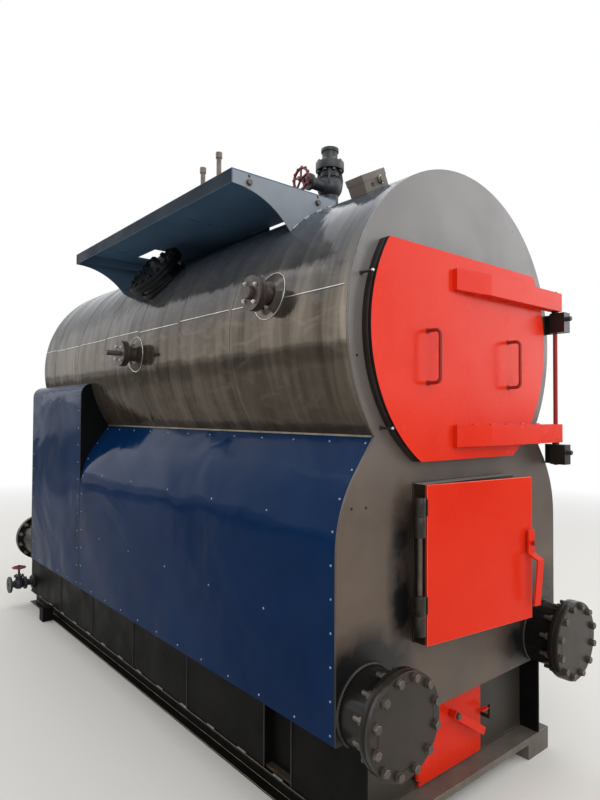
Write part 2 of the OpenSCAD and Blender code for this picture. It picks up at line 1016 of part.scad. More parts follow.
// End plate under the deck: it follows the drum and sweeps up to the outer edge
module walkway_bracket(y) {
    out = deck_out - deck_t;
    low = deck_z - deck_edge;
    foot_x = sweep_foot_x;
    drop = low - drum_top(foot_x);
    sweep_r = ((out - foot_x) * (out - foot_x) + drop * drop) / (2 * drop);
    color("#9aa6b2")
        along_y(y, deck_t)
            difference() {
                translate([-out, deck_z - deck_t - 220])
                    square([out - deck_in - 7, 220]);
                drum_disc(drum_r + seat_gap);
                translate([-out, low - sweep_r])
                    circle(r = sweep_r, $fn = 128);
                translate([-out - 1, low - 260])
                    square([1 + out - foot_x, drum_top(foot_x) - low + 260]);
            }
}

// Fittings

// Bolted blind flange on a short neck out of the drum's left side
module nozzle(y, z, stub) {
    base_x = -sqrt(drum_r * drum_r - (z - drum_z) * (z - drum_z));
    root_x = base_x + 60;
    rod_x(base_x - nozzle_out + 18, y, z, 38, nozzle_out + 42 - 18);
    rod_x(base_x - nozzle_out - 18, y, z, nozzle_flange_d / 2, 36);
    rod_x(base_x - 8, y, z, 58, 30);
    rod_x(base_x - nozzle_out - 18 - stub, y, z, 14, stub + 1);
}

module side_nozzles() {
    color("#2a2222")
        difference() {
            for (i = [0, 1])
                nozzle(front_y + nozzle_places[i][0], nozzle_places[i][1], nozzle_stubs[i]);
            along_y(front_y + plate_t, body_l)
                drum_disc(drum_r + seat_gap);
        }
}

module manhole() {
    flange_at = drum_r + 70;
    color("#26282b")
        difference() {
            translate([0, front_y + manhole_y, drum_z])
                rotate([0, manhole_angle - 90, 0])
                    union() {
                        translate([0, 0, drum_r - 60])
                            cylinder(d = manhole_d - 100, h = flange_at - drum_r + 40);
                        translate([0, 0, drum_r - 46])
                            cylinder(d = manhole_d - 60, h = 60);
                        translate([0, 0, flange_at - 24])
                            cylinder(d = manhole_d, h = 22);
                        translate([0, 0, flange_at])
                            cylinder(d = manhole_d, h = 20);
                        translate([0, 0, flange_at - 3])
                            cylinder(d = manhole_d - 100, h = 4);
                    }
            along_y(front_y + plate_t, body_l)
                drum_disc(drum_r + seat_gap);
        }
}

module steam_valve() {
    y = front_y + steam_y;
    root = drum_top(0) - 20;
    color("#23282d")
        difference() {
            union() {
                translate([0, y, root])
                    cylinder(r = 45, h = steam_z[2] - root);
                translate([0, y, steam_z[0] + 40])
                    cylinder(d = steam_flange_d, h = 36);
                translate([0, y, (steam_z[1] + steam_z[2]) / 2])
                    sphere(r = 66);
                translate([0, y, steam_z[2] - 12])
                    cylinder(r = 50, h = steam_z[3] - steam_z[2] + 12);
                translate([0, y, steam_z[3]])
                    cylinder(d = steam_flange_d, h = steam_z[4] - steam_z[3]);
                translate([0, y, steam_z[4]])
                    cylinder(r = 40, h = steam_z[5] - steam_z[4]);
                translate([0, y, steam_z[5] - 18])
                    cylinder(r = 46, h = 18);
                rod_x(-130, y, steam_wheel[1], 30, 130);
                rod_x(-150, y, steam_wheel[1], 42, 16);
                rod_x(steam_wheel[0] + 12, y, steam_wheel[1], 15, 60);
            }
            along_y(front_y + plate_t, body_l)
                drum_disc(drum_r + seat_gap);
            translate([0, y, steam_z[4] + 5])
                cylinder(r = 32, h = 100);
        }
}

// Spoked handwheel about +Z, with its hub from the origin up
module handwheel(d, r, hub) {
    spokes = 5;
    union() {
        translate([0, 0, hub / 2])
            rotate_extrude()
                translate([d / 2 - r, 0])
                    circle(r = r);
        cylinder(r = 12, h = hub);
        for (i = [0 : spokes - 1])
            rotate([0, 0, i * 360 / spokes])
                translate([0, 0, hub / 2])
                    rotate([0, 90, 0])
                        cylinder(r = r * 0.8, h = d / 2 - r);
    }
}

module steam_handwheel() {
    color("#5d2730")
        translate([steam_wheel[0] + 12 - seat_gap, front_y + steam_y, steam_wheel[1]])
            rotate([0, -90, 0])
                handwheel(steam_wheel_d, 7, 24);
}

module junction_box() {
    y = front_y + 205;
    color("#c9b9a4")
        difference() {
            translate([0, y, drum_z])
                rotate([0, -box_lean, 0])
                    union() {
                        translate([-box_size.x / 2, 0, drum_r - 12])
                            cube([box_size.x, box_size.y, box_size.z * 0.6 + 12]);
                        translate([-box_size.x / 2 - 2, -2, drum_r + box_size.z * 0.6])
                            cube([box_size.x + 4, box_size.y + 4, box_size.z * 0.4]);
                        translate([28, 1, drum_r + 30])
                            rotate([90, 0, 0])
                                cylinder(r = 14, h = 20);
                    }
            along_y(front_y + plate_t, body_l)
                drum_disc(drum_r + seat_gap);
        }
}

module riser_pipes() {
    color("#2d3238")
        difference() {
            for (p = riser_places)
                translate([riser_x, front_y + p[0], drum_top(riser_x) - 20])
                    union() {
                        cylinder(r = 15, h = p[1] - drum_top(riser_x) + 20);
                        translate([0, 0, p[1] - drum_top(riser_x) - 15])
                            cylinder(r = 20, h = 35);
                        cylinder(r = 26, h = 44);
                    }
            along_y(front_y + plate_t, body_l)
                drum_disc(drum_r + seat_gap);
        }
}

// Drain valve on the left base wall near its rear end
module blowdown_valve() {
    body_x = blow_wheel[0];
    wall_x = -base_wall_x;
    color("#1d2124")
        difference() {
            union() {
                rod_x(wall_x - 16, blow_y, blow_z, 54, 16);
                rod_x(blow_end_x, blow_y, blow_z, 26, wall_x - blow_end_x);
                rod_x(blow_end_x, blow_y, blow_z, 64, 16);
                rod_x(body_x + 40, blow_y, blow_z, 50, 16);
                translate([body_x, blow_y, blow_z])
                    sphere(r = 44);
                translate([body_x, blow_y, blow_z])
                    cylinder(r = 26, h = 70);
                translate([body_x, blow_y, blow_z + 56])
                    cylinder(r = 38, h = 12);
                translate([body_x, blow_y, blow_z + 60])
                    cylinder(r = 9, h = blow_wheel[1] - 12 - blow_z - 60);
            }
            rod_x(blow_end_x - 1, blow_y, blow_z, 18, 60);
            for (i = [0 : 3])
                rod_x(blow_end_x - 1, blow_y + 48 * cos(45 + 90 * i),
                      blow_z + 48 * sin(45 + 90 * i), 7, 18);
        }
}

module blowdown_handwheel() {
    color("#6b2a26")
        translate([blow_wheel[0], blow_y, blow_wheel[1] - 12 + seat_gap])
            handwheel(blow_wheel_d, 6, 22);
}

// Round outlet with a bolted flange on the rear drum end
module flue_outlet() {
    low = drum_end - drum_end_t;
    end = drum_end + 160;
    color("#2b2a29")
        difference() {
            union() {
                rod_y(0, low, flue_z, flue_d / 2, end - low);
                rod_y(0, end - 10, flue_z, flue_d / 2 + 45, 10);
            }
            rod_y(0, low - 1, flue_z, flue_d / 2 - 5, end - low + 2);
            for (i = [0 : 11])
                rod_y((flue_d / 2 + 28) * cos(i * 30), end - 11,
                      flue_z + (flue_d / 2 + 28) * sin(i * 30), 7, 12);
        }
}

skid(-1);  // skid_left
skid(1);  // skid_right
front_sill();
rear_sill();
mid_cross_member();
ash_pit_floor();
base_wall(-1);  // base_wall_left
base_wall(1);  // base_wall_right
ash_pit_front();
ash_pit_back();
grate();
wall_lining(-1);  // wall_lining_left
wall_lining(1);  // wall_lining_right
front_lining();
bridge_wall();
front_plate();
side_cladding(-1);  // side_cladding_left
side_cladding(1);  // side_cladding_right
rear_box_face();
rear_box_cladding(-1);  // rear_box_cladding_left
rear_box_cladding(1);  // rear_box_cladding_right
rear_plate();
drum_shell();
drum_cladding();
smokebox_shell();
smokebox_cladding();
tube_sheet();
fire_tubes();
drum_rear_cover();
header(-1);  // header_left
header(1);  // header_right
header_blinds();
smokebox_seat();
smokebox_hinge_brackets();
smokebox_door();
smokebox_door_lining();
smokebox_door_arms();
smokebox_hinge_rod();
smokebox_door_handles();
fire_door_frame();
fire_door();
fire_door_knuckles();
fire_door_lining();
fire_door_latch();
ash_door();
ash_door_latch();
ash_door_keeper();
walkway_deck();
walkway_bracket(front_y + deck_y);  // walkway_bracket_front
walkway_bracket(front_y + deck_y + deck_l - deck_t);  // walkway_bracket_rear
side_nozzles();
manhole();
steam_valve();
steam_handwheel();
junction_box();
riser_pipes();
blowdown_valve();
blowdown_handwheel();
flue_outlet();
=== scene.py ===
"""Looks for the packaged boiler: paint, rivets, bolts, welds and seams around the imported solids.

Metres, in the row frame: +X right seen from the front, +Y to the rear, +Z up.
"""

import json
import math

import bpy
from mathutils import Matrix, Quaternion, Vector


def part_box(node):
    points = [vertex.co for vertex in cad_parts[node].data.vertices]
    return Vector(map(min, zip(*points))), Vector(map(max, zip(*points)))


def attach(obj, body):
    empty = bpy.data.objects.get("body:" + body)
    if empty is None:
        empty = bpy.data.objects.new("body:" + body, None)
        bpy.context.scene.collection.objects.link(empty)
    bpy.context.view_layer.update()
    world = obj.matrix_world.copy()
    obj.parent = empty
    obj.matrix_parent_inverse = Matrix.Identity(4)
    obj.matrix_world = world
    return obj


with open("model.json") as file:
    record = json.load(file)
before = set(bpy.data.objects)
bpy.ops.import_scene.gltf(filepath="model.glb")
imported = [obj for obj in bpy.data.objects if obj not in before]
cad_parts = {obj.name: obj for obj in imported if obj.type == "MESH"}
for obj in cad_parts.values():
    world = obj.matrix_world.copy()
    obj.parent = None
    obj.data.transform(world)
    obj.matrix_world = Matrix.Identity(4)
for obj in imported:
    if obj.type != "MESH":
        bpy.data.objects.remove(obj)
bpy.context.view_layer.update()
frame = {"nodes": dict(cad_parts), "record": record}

# Places read from the solids

plate_low, plate_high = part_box("front_plate")
FRONT = plate_low.y
HALF_W = plate_high.x
SKIRT_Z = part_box("side_cladding_left")[0].z
drum_low, drum_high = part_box("drum_cladding")
DRUM_R = drum_high.x
DRUM_Z = drum_high.z - DRUM_R
DRUM_END = drum_high.y
WAIST_Z = drum_low.z
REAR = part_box("rear_plate")[1].y
BOX_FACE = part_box("rear_box_face")[0].y
blind_low, blind_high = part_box("header_blinds")
HEADER_X = blind_high.x - (blind_high.z - blind_low.z) / 2
HEADER_Z = (blind_high.z + blind_low.z) / 2
BLIND_FRONT = blind_low.y
BLIND_REAR = blind_high.y
FLANGE_T = 0.024
FLANGE_PCD = 0.304
BASE_X = -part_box("base_wall_left")[0].x
SKID_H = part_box("skid_left")[1].z
DOOR_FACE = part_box("smokebox_door")[0].y
fire_low, fire_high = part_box("fire_door_frame")
ASH_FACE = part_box("ash_door")[0].y
LEAN_Z = 1.106
LEAN_R = 0.45
FLANK_ARC_X = HALF_W - LEAN_R
WAIST_X = math.sqrt(DRUM_R ** 2 - (DRUM_Z - WAIST_Z) ** 2)
_reach = math.hypot(WAIST_X - FLANK_ARC_X, WAIST_Z - LEAN_Z)
LEAN_ANGLE = math.atan2(WAIST_Z - LEAN_Z, WAIST_X - FLANK_ARC_X) - math.acos(LEAN_R / _reach)


# Colours and materials


def linear(code):
    """Linear RGBA of a colour written as six hexadecimal digits."""
    out = []
    for i in (0, 2, 4):
        c = int(code[i:i + 2], 16) / 255
        out.append(c / 12.92 if c <= 0.04045 else ((c + 0.055) / 1.055) ** 2.4)
    return (*out, 1.0)


class Nodes:
    """Short calls for building one material's node tree."""

    def __init__(self, name):
        self.material = bpy.data.materials.new(name)
        self.material.use_nodes = True
        self.tree = self.material.node_tree
        self.shader = self.tree.nodes["Principled BSDF"]
        self.coords = self.tree.nodes.new("ShaderNodeTexCoord").outputs["Object"]

    def link(self, out, into):
        self.tree.links.new(out, into)

    def scaled(self, scale):
        """Object coordinates multiplied by scale along each axis."""
        node = self.tree.nodes.new("ShaderNodeMapping")
        node.inputs["Scale"].default_value = scale
        self.link(self.coords, node.inputs["Vector"])
        return node.outputs["Vector"]

    def noise(self, scale, detail=3.0, rough=0.55, stretch=(1, 1, 1), distort=0.0):
        node = self.tree.nodes.new("ShaderNodeTexNoise")
        node.inputs["Scale"].default_value = scale
        node.inputs["Detail"].default_value = detail
        node.inputs["Roughness"].default_value = rough
        node.inputs["Distortion"].default_value = distort
        self.link(self.scaled(stretch), node.inputs["Vector"])
        return node.outputs["Fac"]

    def ramp(self, fac, stops):
        """Colour ramp; stops are (position, colour) pairs."""
        node = self.tree.nodes.new("ShaderNodeValToRGB")
        elements = node.color_ramp.elements
        while len(elements) < len(stops):
            elements.new(0.5)
        for element, (place, colour) in zip(elements, stops):
            element.position = place
            element.color = colour
        self.link(fac, node.inputs["Fac"])
        return node.outputs["Color"]

    def grey(self, fac, low, high, start=0.3, end=0.7):
        """Number from low to high as fac goes from start to end."""
        node = self.tree.nodes.new("ShaderNodeMapRange")
        node.inputs["From Min"].default_value = start
        node.inputs["From Max"].default_value = end
        node.inputs["To Min"].default_value = low
        node.inputs["To Max"].default_value = high
        self.link(fac, node.inputs["Value"])
        return node.outputs["Result"]

    def mix(self, fac, a, b):
        """Colour a where fac is 0 and b where it is 1; each is a colour or a socket."""
        node = self.tree.nodes.new("ShaderNodeMix")
        node.data_type = "RGBA"
        for value, socket in ((a, node.inputs[6]), (b, node.inputs[7])):
            if isinstance(value, tuple):
                socket.default_value = value
            else:
                self.link(value, socket)
        if isinstance(fac, (int, float)):
            node.inputs[0].default_value = fac
        else:
            self.link(fac, node.inputs[0])
        return node.outputs[2]

    def multiply(self, a, b):
        node = self.tree.nodes.new("ShaderNodeMath")
        node.operation = "MULTIPLY"
        self.link(a, node.inputs[0])
        if isinstance(b, (int, float)):
            node.inputs[1].default_value = b
        else:
            self.link(b, node.inputs[1])
        return node.outputs["Value"]

    def height(self):
        """Height above the floor, in metres."""
        node = self.tree.nodes.new("ShaderNodeSeparateXYZ")
        self.link(self.coords, node.inputs["Vector"])
        return node.outputs["Z"]

    def near(self, centre, scale, start, end):
        """1 within start of a point and 0 beyond end, along axes stretched by scale."""
        node = self.tree.nodes.new("ShaderNodeVectorMath")
        node.operation = "DISTANCE"
        self.link(self.scaled(scale), node.inputs[0])
        node.inputs[1].default_value = [c * k for c, k in zip(centre, scale)]
        return self.grey(node.outputs["Value"], 1.0, 0.0, start, end)

    def bump(self, heights):
        """Bumps one on another; heights are (socket, strength, distance) triples."""
        normal = None
        for fac, strength, distance in heights:
            node = self.tree.nodes.new("ShaderNodeBump")
            node.inputs["Strength"].default_value = strength
            node.inputs["Distance"].default_value = distance
            self.link(fac, node.inputs["Height"])
            if normal is not None:
                self.link(normal, node.inputs["Normal"])
            normal = node.outputs["Normal"]
        self.link(normal, self.shader.inputs["Normal"])

    def set(self, **values):
        """Sets shader sockets by name, with underscores for spaces."""
        for name, value in values.items():
            self.shader.inputs[name.replace("_", " ")].default_value = value


# Colour of the painted shade patches, dark spots on the front plate.
PAINTED_SHADE_CODE = "100f0f"


def paint(name, code, patch_code, rough, specular, wave=0.0, dust=0.0, dust_code="6b5d4b",
          peel=0.12, high=None, shade_patches=()):
    """Painted steel: patchy colour, orange peel, sheet waviness and dust low down.

    high is (colour, start, end): painted sheen that makes the paint lighter with height. A painted
    shadow patch is (centre, scale, start, end), a ragged dark patch.
    """
    n = Nodes(name)
    patch = n.noise(2.3, 5.0, 0.6)
    fine = n.noise(38.0, 3.0)
    colour = n.ramp(patch, [(0.32, linear(code)), (0.72, linear(patch_code))])
    speck = n.grey(fine, 0.0, 0.22, 0.45, 0.8)
    colour = n.mix(speck, colour, linear(patch_code))
    if dust:
        low = n.grey(n.height(), dust, 0.0, 0.0, 1.3)
        spread = n.multiply(low, n.grey(n.noise(7.0, 6.0, 0.65), 0.2, 1.0, 0.35, 0.65))
        colour = n.mix(spread, colour, linear(dust_code))
    # Painted sheen: a lighter colour that grows with height.
    if high:
        colour = n.mix(n.grey(n.height(), 0.0, 0.75, high[1], high[2]), colour, linear(high[0]))
    # Painted shade: a ragged dark patch round each given point.
    for shade_patch in shade_patches:
        ragged = n.multiply(n.near(*shade_patch), n.grey(n.noise(7.0, 5.0, 0.6), 0.6, 1.7, 0.35, 0.6))
        colour = n.mix(ragged, colour, linear(PAINTED_SHADE_CODE))
    n.link(colour, n.shader.inputs["Base Color"])
    n.link(n.grey(n.noise(5.0, 4.0), rough * 0.75, rough * 1.35), n.shader.inputs["Roughness"])
    heights = [(n.noise(420.0, 2.0), peel, 0.0006)]
    if wave:
        heights.insert(0, (n.noise(1.9, 2.5, 0.5, (1, 0.7, 1), 0.5), wave, 0.05))
    n.bump(heights)
    n.set(Specular_IOR_Level=specular)
    return n.material


def reflection_painted_steel(name):
    """Dark polished cladding: painted reflections in its colour, wipe marks in its roughness,
    shallow dents.
    """
    n = Nodes(name)
    rings = n.noise(2.2, 6.0, 0.62, (0.4, 5.0, 0.4), 0.5)
    broad_dark_reflection = n.noise(0.9, 3.0, 0.5, (1, 1.3, 1))
    wipe_marks_and_reflections = n.noise(5.0, 4.0, 0.6, (1.0, 1.0, 2.6), 1.4)
    # Ring bands round the drum in the colour: painted reflections.
    colour = n.ramp(rings, [(0.3, linear("3e3831")), (0.52, linear("5b544b")),
                            (0.7, linear("756d62"))])
    # Large darker patches: painted dark reflections.
    colour = n.mix(n.grey(broad_dark_reflection, 0.0, 0.6, 0.42, 0.68), colour, linear("3b3632"))
    # Lighter swirls: painted reflections; the same noise also sets the roughness of wipe marks.
    colour = n.mix(n.grey(wipe_marks_and_reflections, 0.0, 0.35, 0.5, 0.75), colour, linear("7a7267"))
    # Browner and darker low on the drum: painted reflection of the ground.
    colour = n.mix(n.grey(n.height(), 0.6, 0.0, 1.3, 1.8), colour, linear("43372c"))
    # Blue-grey on the drum's top: painted reflection of the sky.
    sky_reflection_top = n.grey(n.height(), 0.0, 0.85, 1.95, 2.4)
    colour = n.mix(sky_reflection_top, colour, linear("3f4854"))
    n.link(n.grey(n.height(), 0.6, 0.0, 1.95, 2.35), n.shader.inputs["Metallic"])
    n.link(colour, n.shader.inputs["Base Color"])
    n.link(n.grey(wipe_marks_and_reflections, 0.06, 0.16), n.shader.inputs["Roughness"])
    n.bump([
        (n.noise(1.3, 3.0, 0.5, (0.8, 1.8, 0.8)), 0.3, 0.05),
        (n.noise(2.6, 4.0, 0.55, (0.5, 6.0, 0.5), 0.4), 0.2, 0.012),
    ])
    n.set(Specular_IOR_Level=0.06, Specular_Tint=linear("c8c8c8"))
    return n.material


def bare(name, code, patch_code, rough=0.6, metallic=0.6):
    """Worn, rusty or cast metal."""
    n = Nodes(name)
    colour = n.ramp(n.noise(14.0, 8.0, 0.7), [(0.35, linear(code)), (0.65, linear(patch_code))])
    n.link(colour, n.shader.inputs["Base Color"])
    n.link(n.grey(n.noise(22.0, 5.0), rough * 0.7, rough * 1.25), n.shader.inputs["Roughness"])
    n.bump([(n.noise(160.0, 5.0, 0.7), 0.3, 0.0012)])
    n.set(Metallic=metallic)
    return n.material


def brick(name):
    """Firebrick in courses, sooty towards the fire."""
    n = Nodes(name)
    node = n.tree.nodes.new("ShaderNodeTexBrick")
    node.inputs["Scale"].default_value = 1.0
    node.inputs["Brick Width"].default_value = 0.23
    node.inputs["Row Height"].default_value = 0.075
    node.inputs["Mortar Size"].default_value = 0.004
    node.inputs["Color1"].default_value = linear("a08566")
    node.inputs["Color2"].default_value = linear("8a7057")
    node.inputs["Mortar"].default_value = linear("4b4037")
    swap = n.tree.nodes.new("ShaderNodeSeparateXYZ")
    join = n.tree.nodes.new("ShaderNodeCombineXYZ")
    add = n.tree.nodes.new("ShaderNodeMath")
    n.link(n.coords, swap.inputs["Vector"])
    n.link(swap.outputs["X"], add.inputs[0])
    n.link(swap.outputs["Y"], add.inputs[1])
    n.link(add.outputs["Value"], join.inputs["X"])
    n.link(swap.outputs["Z"], join.inputs["Y"])
    n.link(join.outputs["Vector"], node.inputs["Vector"])
    soot = n.grey(n.noise(3.0, 6.0, 0.7), 0.1, 0.85, 0.35, 0.65)
    n.link(n.mix(soot, node.outputs["Color"], linear("2a2420")), n.shader.inputs["Base Color"])
    n.bump([(node.outputs["Fac"], 0.6, -0.003), (n.noise(120.0, 4.0), 0.35, 0.001)])
    n.set(Roughness=0.9)
    return n.material


BLUE = paint("blue_paint", "051f41", "08284d", 0.1, 0.03, wave=0.65, dust=0.05)
RED = paint("red_paint", "ca240e", "d22f18", 0.24, 0.1, wave=0.12, peel=0.08)
RED_DEEP = paint("red_paint_deep", "7e1d18", "902a20", 0.3, 0.2)
# Front plate: dust low down, and painted sheen that makes the paint lighter with height.
PLATE = paint("plate_paint", "403630", "5a4c40", 0.34, 0.35, wave=0.12, dust=0.1,
              peel=0.3, high=("6f6f70", 1.2, 2.3),
              # Dark patches: painted shadows round both header pipes, and a painted reflection of
              # the hinge barrels left of the fire door's hinge.
              shade_patches=[((-HEADER_X, FRONT, HEADER_Z), (1, 0, 1), 0.15, 0.30),
                     ((HEADER_X, FRONT, HEADER_Z), (1, 0, 1), 0.15, 0.36),
                     ((-0.40, FRONT, 0.95), (1, 0, 0.2), 0.02, 0.085)])
FRAME = paint("frame_paint", "050708", "0c0e10", 0.45, 0.05, dust=0.04)
BLACK = paint("header_paint", "191613", "2b251f", 0.3, 0.26, dust=0.1)
# Lighter grey for the fire door frame's upward faces: painted sheen.
TOP_SHEEN = paint("top_sheen_paint", "6f6c69", "827e7a", 0.5, 0.3)
# Darker copy of the header paint, for the header pipes: painted shade.
HEADER_SHADED = paint("header_pipe_shaded", "0d0c0c", "191715", 0.3, 0.15, dust=0.06)
# Near-black: the smokebox door's black rim paint, and painted shade for the manhole, its bolts and
# handle and the plate's spare holes.
BLACK_AND_SHADE = paint("black_and_shade_paint", "0c0d0f", "16171a", 0.4, 0.12)
# Deck navy made lighter: painted light on the deck, its underside and the bearer, which lie in
# shade.
DECK_PAINT_LIGHTENED = paint("navy_paint", "3f5870", "4b657f", 0.35, 0.25)
# Darker copy of the deck navy for its left-facing edge and the angle under it: painted shade.
DECK_EDGE_SHADE = paint("deck_edge_painted_shade", "1a232d", "232e3a", 0.5, 0.03)
BRACKET = paint("bracket_paint", "727a82", "868e97", 0.42, 0.25)
SILL = paint("sill_paint", "2b2826", "6a635b", 0.42, 0.25, dust=0.35, dust_code="7a7268")
PIT = paint("pit_paint", "262524", "3a3733", 0.38, 0.25, dust=0.1)
BOX = paint("box_paint", "6a635b", "5f5850", 0.45, 0.25)
WHEEL = paint("wheel_paint", "5a2129", "6f2f33", 0.4, 0.25)
JACKET = reflection_painted_steel("jacket_steel")
STEEL = bare("bare_steel", "3c332b", "5a4938", 0.7, 0.4)
IRON = bare("valve_iron", "1c2025", "2c2f32", 0.5, 0.3)
NOZZLE_IRON = bare("nozzle_iron", "2a2120", "3b2c29", 0.5, 0.2)
PIPE = bare("pipe_steel", "5a504c", "746862", 0.55, 0.2)
GRATE = bare("cast_grate", "33291f", "57412c", 0.8, 0.3)
BRICK = brick("firebrick")
WORN = bare("worn_edge", "5e544a", "857a6b", 0.45, 0.5)
WORN_RED = paint("worn_red", "e4523e", "e9664f", 0.3, 0.3)
SEAM = bare("seam_dark", "1c1a18", "2c2824", 0.6, 0.2)
BOLT = bare("bolt_steel", "3a342f", "5a5048", 0.42, 0.4)
WELD = bare("weld_steel", "565450", "7d7a74", 0.45, 0.5)
ZINC = bare("zinc_steel", "8f8f8c", "b9b8b3", 0.35, 0.9)
RIVET = bare("rivet_steel", "66707d", "8a93a0", 0.4, 0.5)

SLOT_LOOKS = {
    "blue_paint": BLUE, "red_paint": RED, "dark_red_paint": RED_DEEP, "plate_paint": PLATE,
    "frame_paint": FRAME, "header_paint": BLACK, "navy_paint": DECK_PAINT_LIGHTENED, "bracket_paint": BRACKET,
    "sill_steel": SILL, "jacket_steel": JACKET, "bare_steel": STEEL, "cast_grate": GRATE,
    "valve_iron": IRON, "wheel_paint": WHEEL, "box_paint": BOX, "firebrick": BRICK,
}
NODE_SLOT = {s["node"]: s["material_slot"] for s in frame["record"]["subparts"]}
# The manhole's near-black is painted shade, and the header pipes' darker paint is painted shade
# too.
NODE_LOOKS = {"side_nozzles": NOZZLE_IRON, "manhole": BLACK_AND_SHADE, "riser_pipes": PIPE,
              "ash_pit_front": PIT, "header_left": HEADER_SHADED, "header_right": HEADER_SHADED}

# Faces of a node that have a look of their own, picked by the way they face: black for the
# smokebox door's rim, painted sheen on the fire door frame's upward faces and painted shade on the
# deck's left edge

SIDE_LOOKS = {
    "smokebox_door": (lambda n: abs(n.y) < 0.5, BLACK_AND_SHADE),
    "walkway_deck": (lambda n: n.x < -0.5, DECK_EDGE_SHADE),
    "fire_door_frame": (lambda n: n.z > 0.7, TOP_SHEEN),
}


# Solids from the frame: a material each, and a small bevel that takes the wear

EDGE_WEAR = {
    "fire_door_frame": (0.0022, WORN), "header_blinds": (0.002, BLACK),
    "header_left": (0.002, HEADER_SHADED), "header_right": (0.002, HEADER_SHADED),
    "front_sill": (0.003, WORN), "fire_door": (0.0018, WORN_RED),
    "ash_door": (0.0016, WORN_RED), "smokebox_door": (0.002, RED),
    "smokebox_door_arms": (0.003, RED), "smokebox_seat": (0.0015, BLACK),
    "smokebox_hinge_brackets": (0.002, BRACKET), "fire_door_latch": (0.002, WORN_RED),
    "ash_door_latch": (0.0015, WORN_RED), "fire_door_knuckles": (0.002, BLACK),
    "front_plate": (0.0015, PLATE), "walkway_deck": (0.001, DECK_PAINT_LIGHTENED),
    "walkway_bracket_front": (0.001, BRACKET), "skid_left": (0.0015, WORN),
    "skid_right": (0.0015, WORN), "junction_box": (0.003, BOX),
    "side_nozzles": (0.0015, NOZZLE_IRON), "manhole": (0.002, BLACK_AND_SHADE),
    "steam_valve": (0.002, IRON), "blowdown_valve": (0.002, IRON),
    "flue_outlet": (0.002, FRAME), "ash_pit_front": (0.0015, PIT),
}
MERGE_M = 0.00002
BEVEL_FROM = math.radians(40)


def dress(name, node):
    """Gives a CAD node its material, and a bevel with worn edges where it has one."""
    look = NODE_LOOKS.get(name, SLOT_LOOKS[NODE_SLOT[name]])
    node.data.materials.clear()
    node.data.materials.append(look)
    if name in EDGE_WEAR:
        width, worn = EDGE_WEAR[name]
        node.data.materials.append(worn)
        weld = node.modifiers.new("weld", "WELD")
        weld.merge_threshold = MERGE_M
        bevel = node.modifiers.new("bevel", "BEVEL")
        bevel.width = width
        bevel.segments = 2
        bevel.limit_method = "ANGLE"
        bevel.angle_limit = BEVEL_FROM
        bevel.material = 1
        bevel.harden_normals = True
    if name in SIDE_LOOKS:
        picks, side_look = SIDE_LOOKS[name]
        node.data.materials.append(side_look)
        for face in node.data.polygons:
            if picks(face.normal):
                face.material_index = len(node.data.materials) - 1


for node_name, cad_node in frame["nodes"].items():
    dress(node_name, cad_node)


# Mesh helpers: each makes (vertices, faces) in the row frame


def aimed(origin, axis, up=(0, 0, 1)):
    """Matrix that takes +Z to axis and the origin to a point."""
    z = Vector(axis).normalized()
    side = Vector(up).cross(z)
    if side.length < 1e-4:
        side = Vector((1, 0, 0))
    x = side.normalized()
    y = z.cross(x)
    m = Matrix((x, y, z)).transposed().to_4x4()
    m.translation = Vector(origin)
    return m


def lathe(profile, matrix, segments=24):
    """Turned form; profile is (radius, height) pairs, closed where the radius is 0."""
    verts, faces, rings = [], [], []
    for r, h in profile:
        if r < 1e-6:
            rings.append([len(verts)])
            verts.append(matrix @ Vector((0, 0, h)))
            continue
        rings.append(list(range(len(verts), len(verts) + segments)))
        for i in range(segments):
            a = 2 * math.pi * i / segments
            verts.append(matrix @ Vector((r * math.cos(a), r * math.sin(a), h)))
    for low, high in zip(rings, rings[1:]):
        for i in range(segments):
            j = (i + 1) % segments
            if len(low) == 1 and len(high) > 1:
                faces.append((low[0], high[i], high[j])[::-1])
            elif len(high) == 1 and len(low) > 1:
                faces.append((low[i], low[j], high[0]))
            elif len(low) > 1:
                faces.append((low[i], low[j], high[j], high[i]))
    return verts, faces


def disc(matrix, radius, height, segments):
    """Short round bar that stands on the matrix's origin."""
    return lathe([(0, 0), (radius, 0), (radius, height), (0, height)], matrix, segments)


def prism(outline, height, matrix, chamfer=0.0):
    """Upright prism over an outline of (x, y) points, its top edge chamfered."""
    n = len(outline)
    centre = Vector((sum(p[0] for p in outline) / n, sum(p[1] for p in outline) / n))
    layers = [(0.0, 0.0), (height - chamfer, 0.0)]
    if chamfer:
        layers.append((height, chamfer))
    verts = []
    for h, inset in layers:
        for p in outline:
            away = Vector(p) - centre
            q = centre + away * max(0.0, 1 - inset / away.length)
            verts.append(matrix @ Vector((q.x, q.y, h)))
    faces = [tuple(range(n))[::-1]]
    for k in range(len(layers) - 1):
        for i in range(n):
            j = (i + 1) % n
            faces.append((k * n + i, k * n + j, (k + 1) * n + j, (k + 1) * n + i))
    faces.append(tuple(range((len(layers) - 1) * n, len(layers) * n)))
    return verts, faces


def slab(low, high):
    """Box between two corners."""
    x0, y0, z0 = low
    x1, y1, z1 = high
    m = Matrix.Translation((0, 0, z0))
    return prism([(x0, y0), (x1, y0), (x1, y1), (x0, y1)], z1 - z0, m)


def hexagon(across):
    r = across / math.sqrt(3)
    return [(r * math.cos(math.radians(60 * i + 30)), r * math.sin(math.radians(60 * i + 30)))
            for i in range(6)]


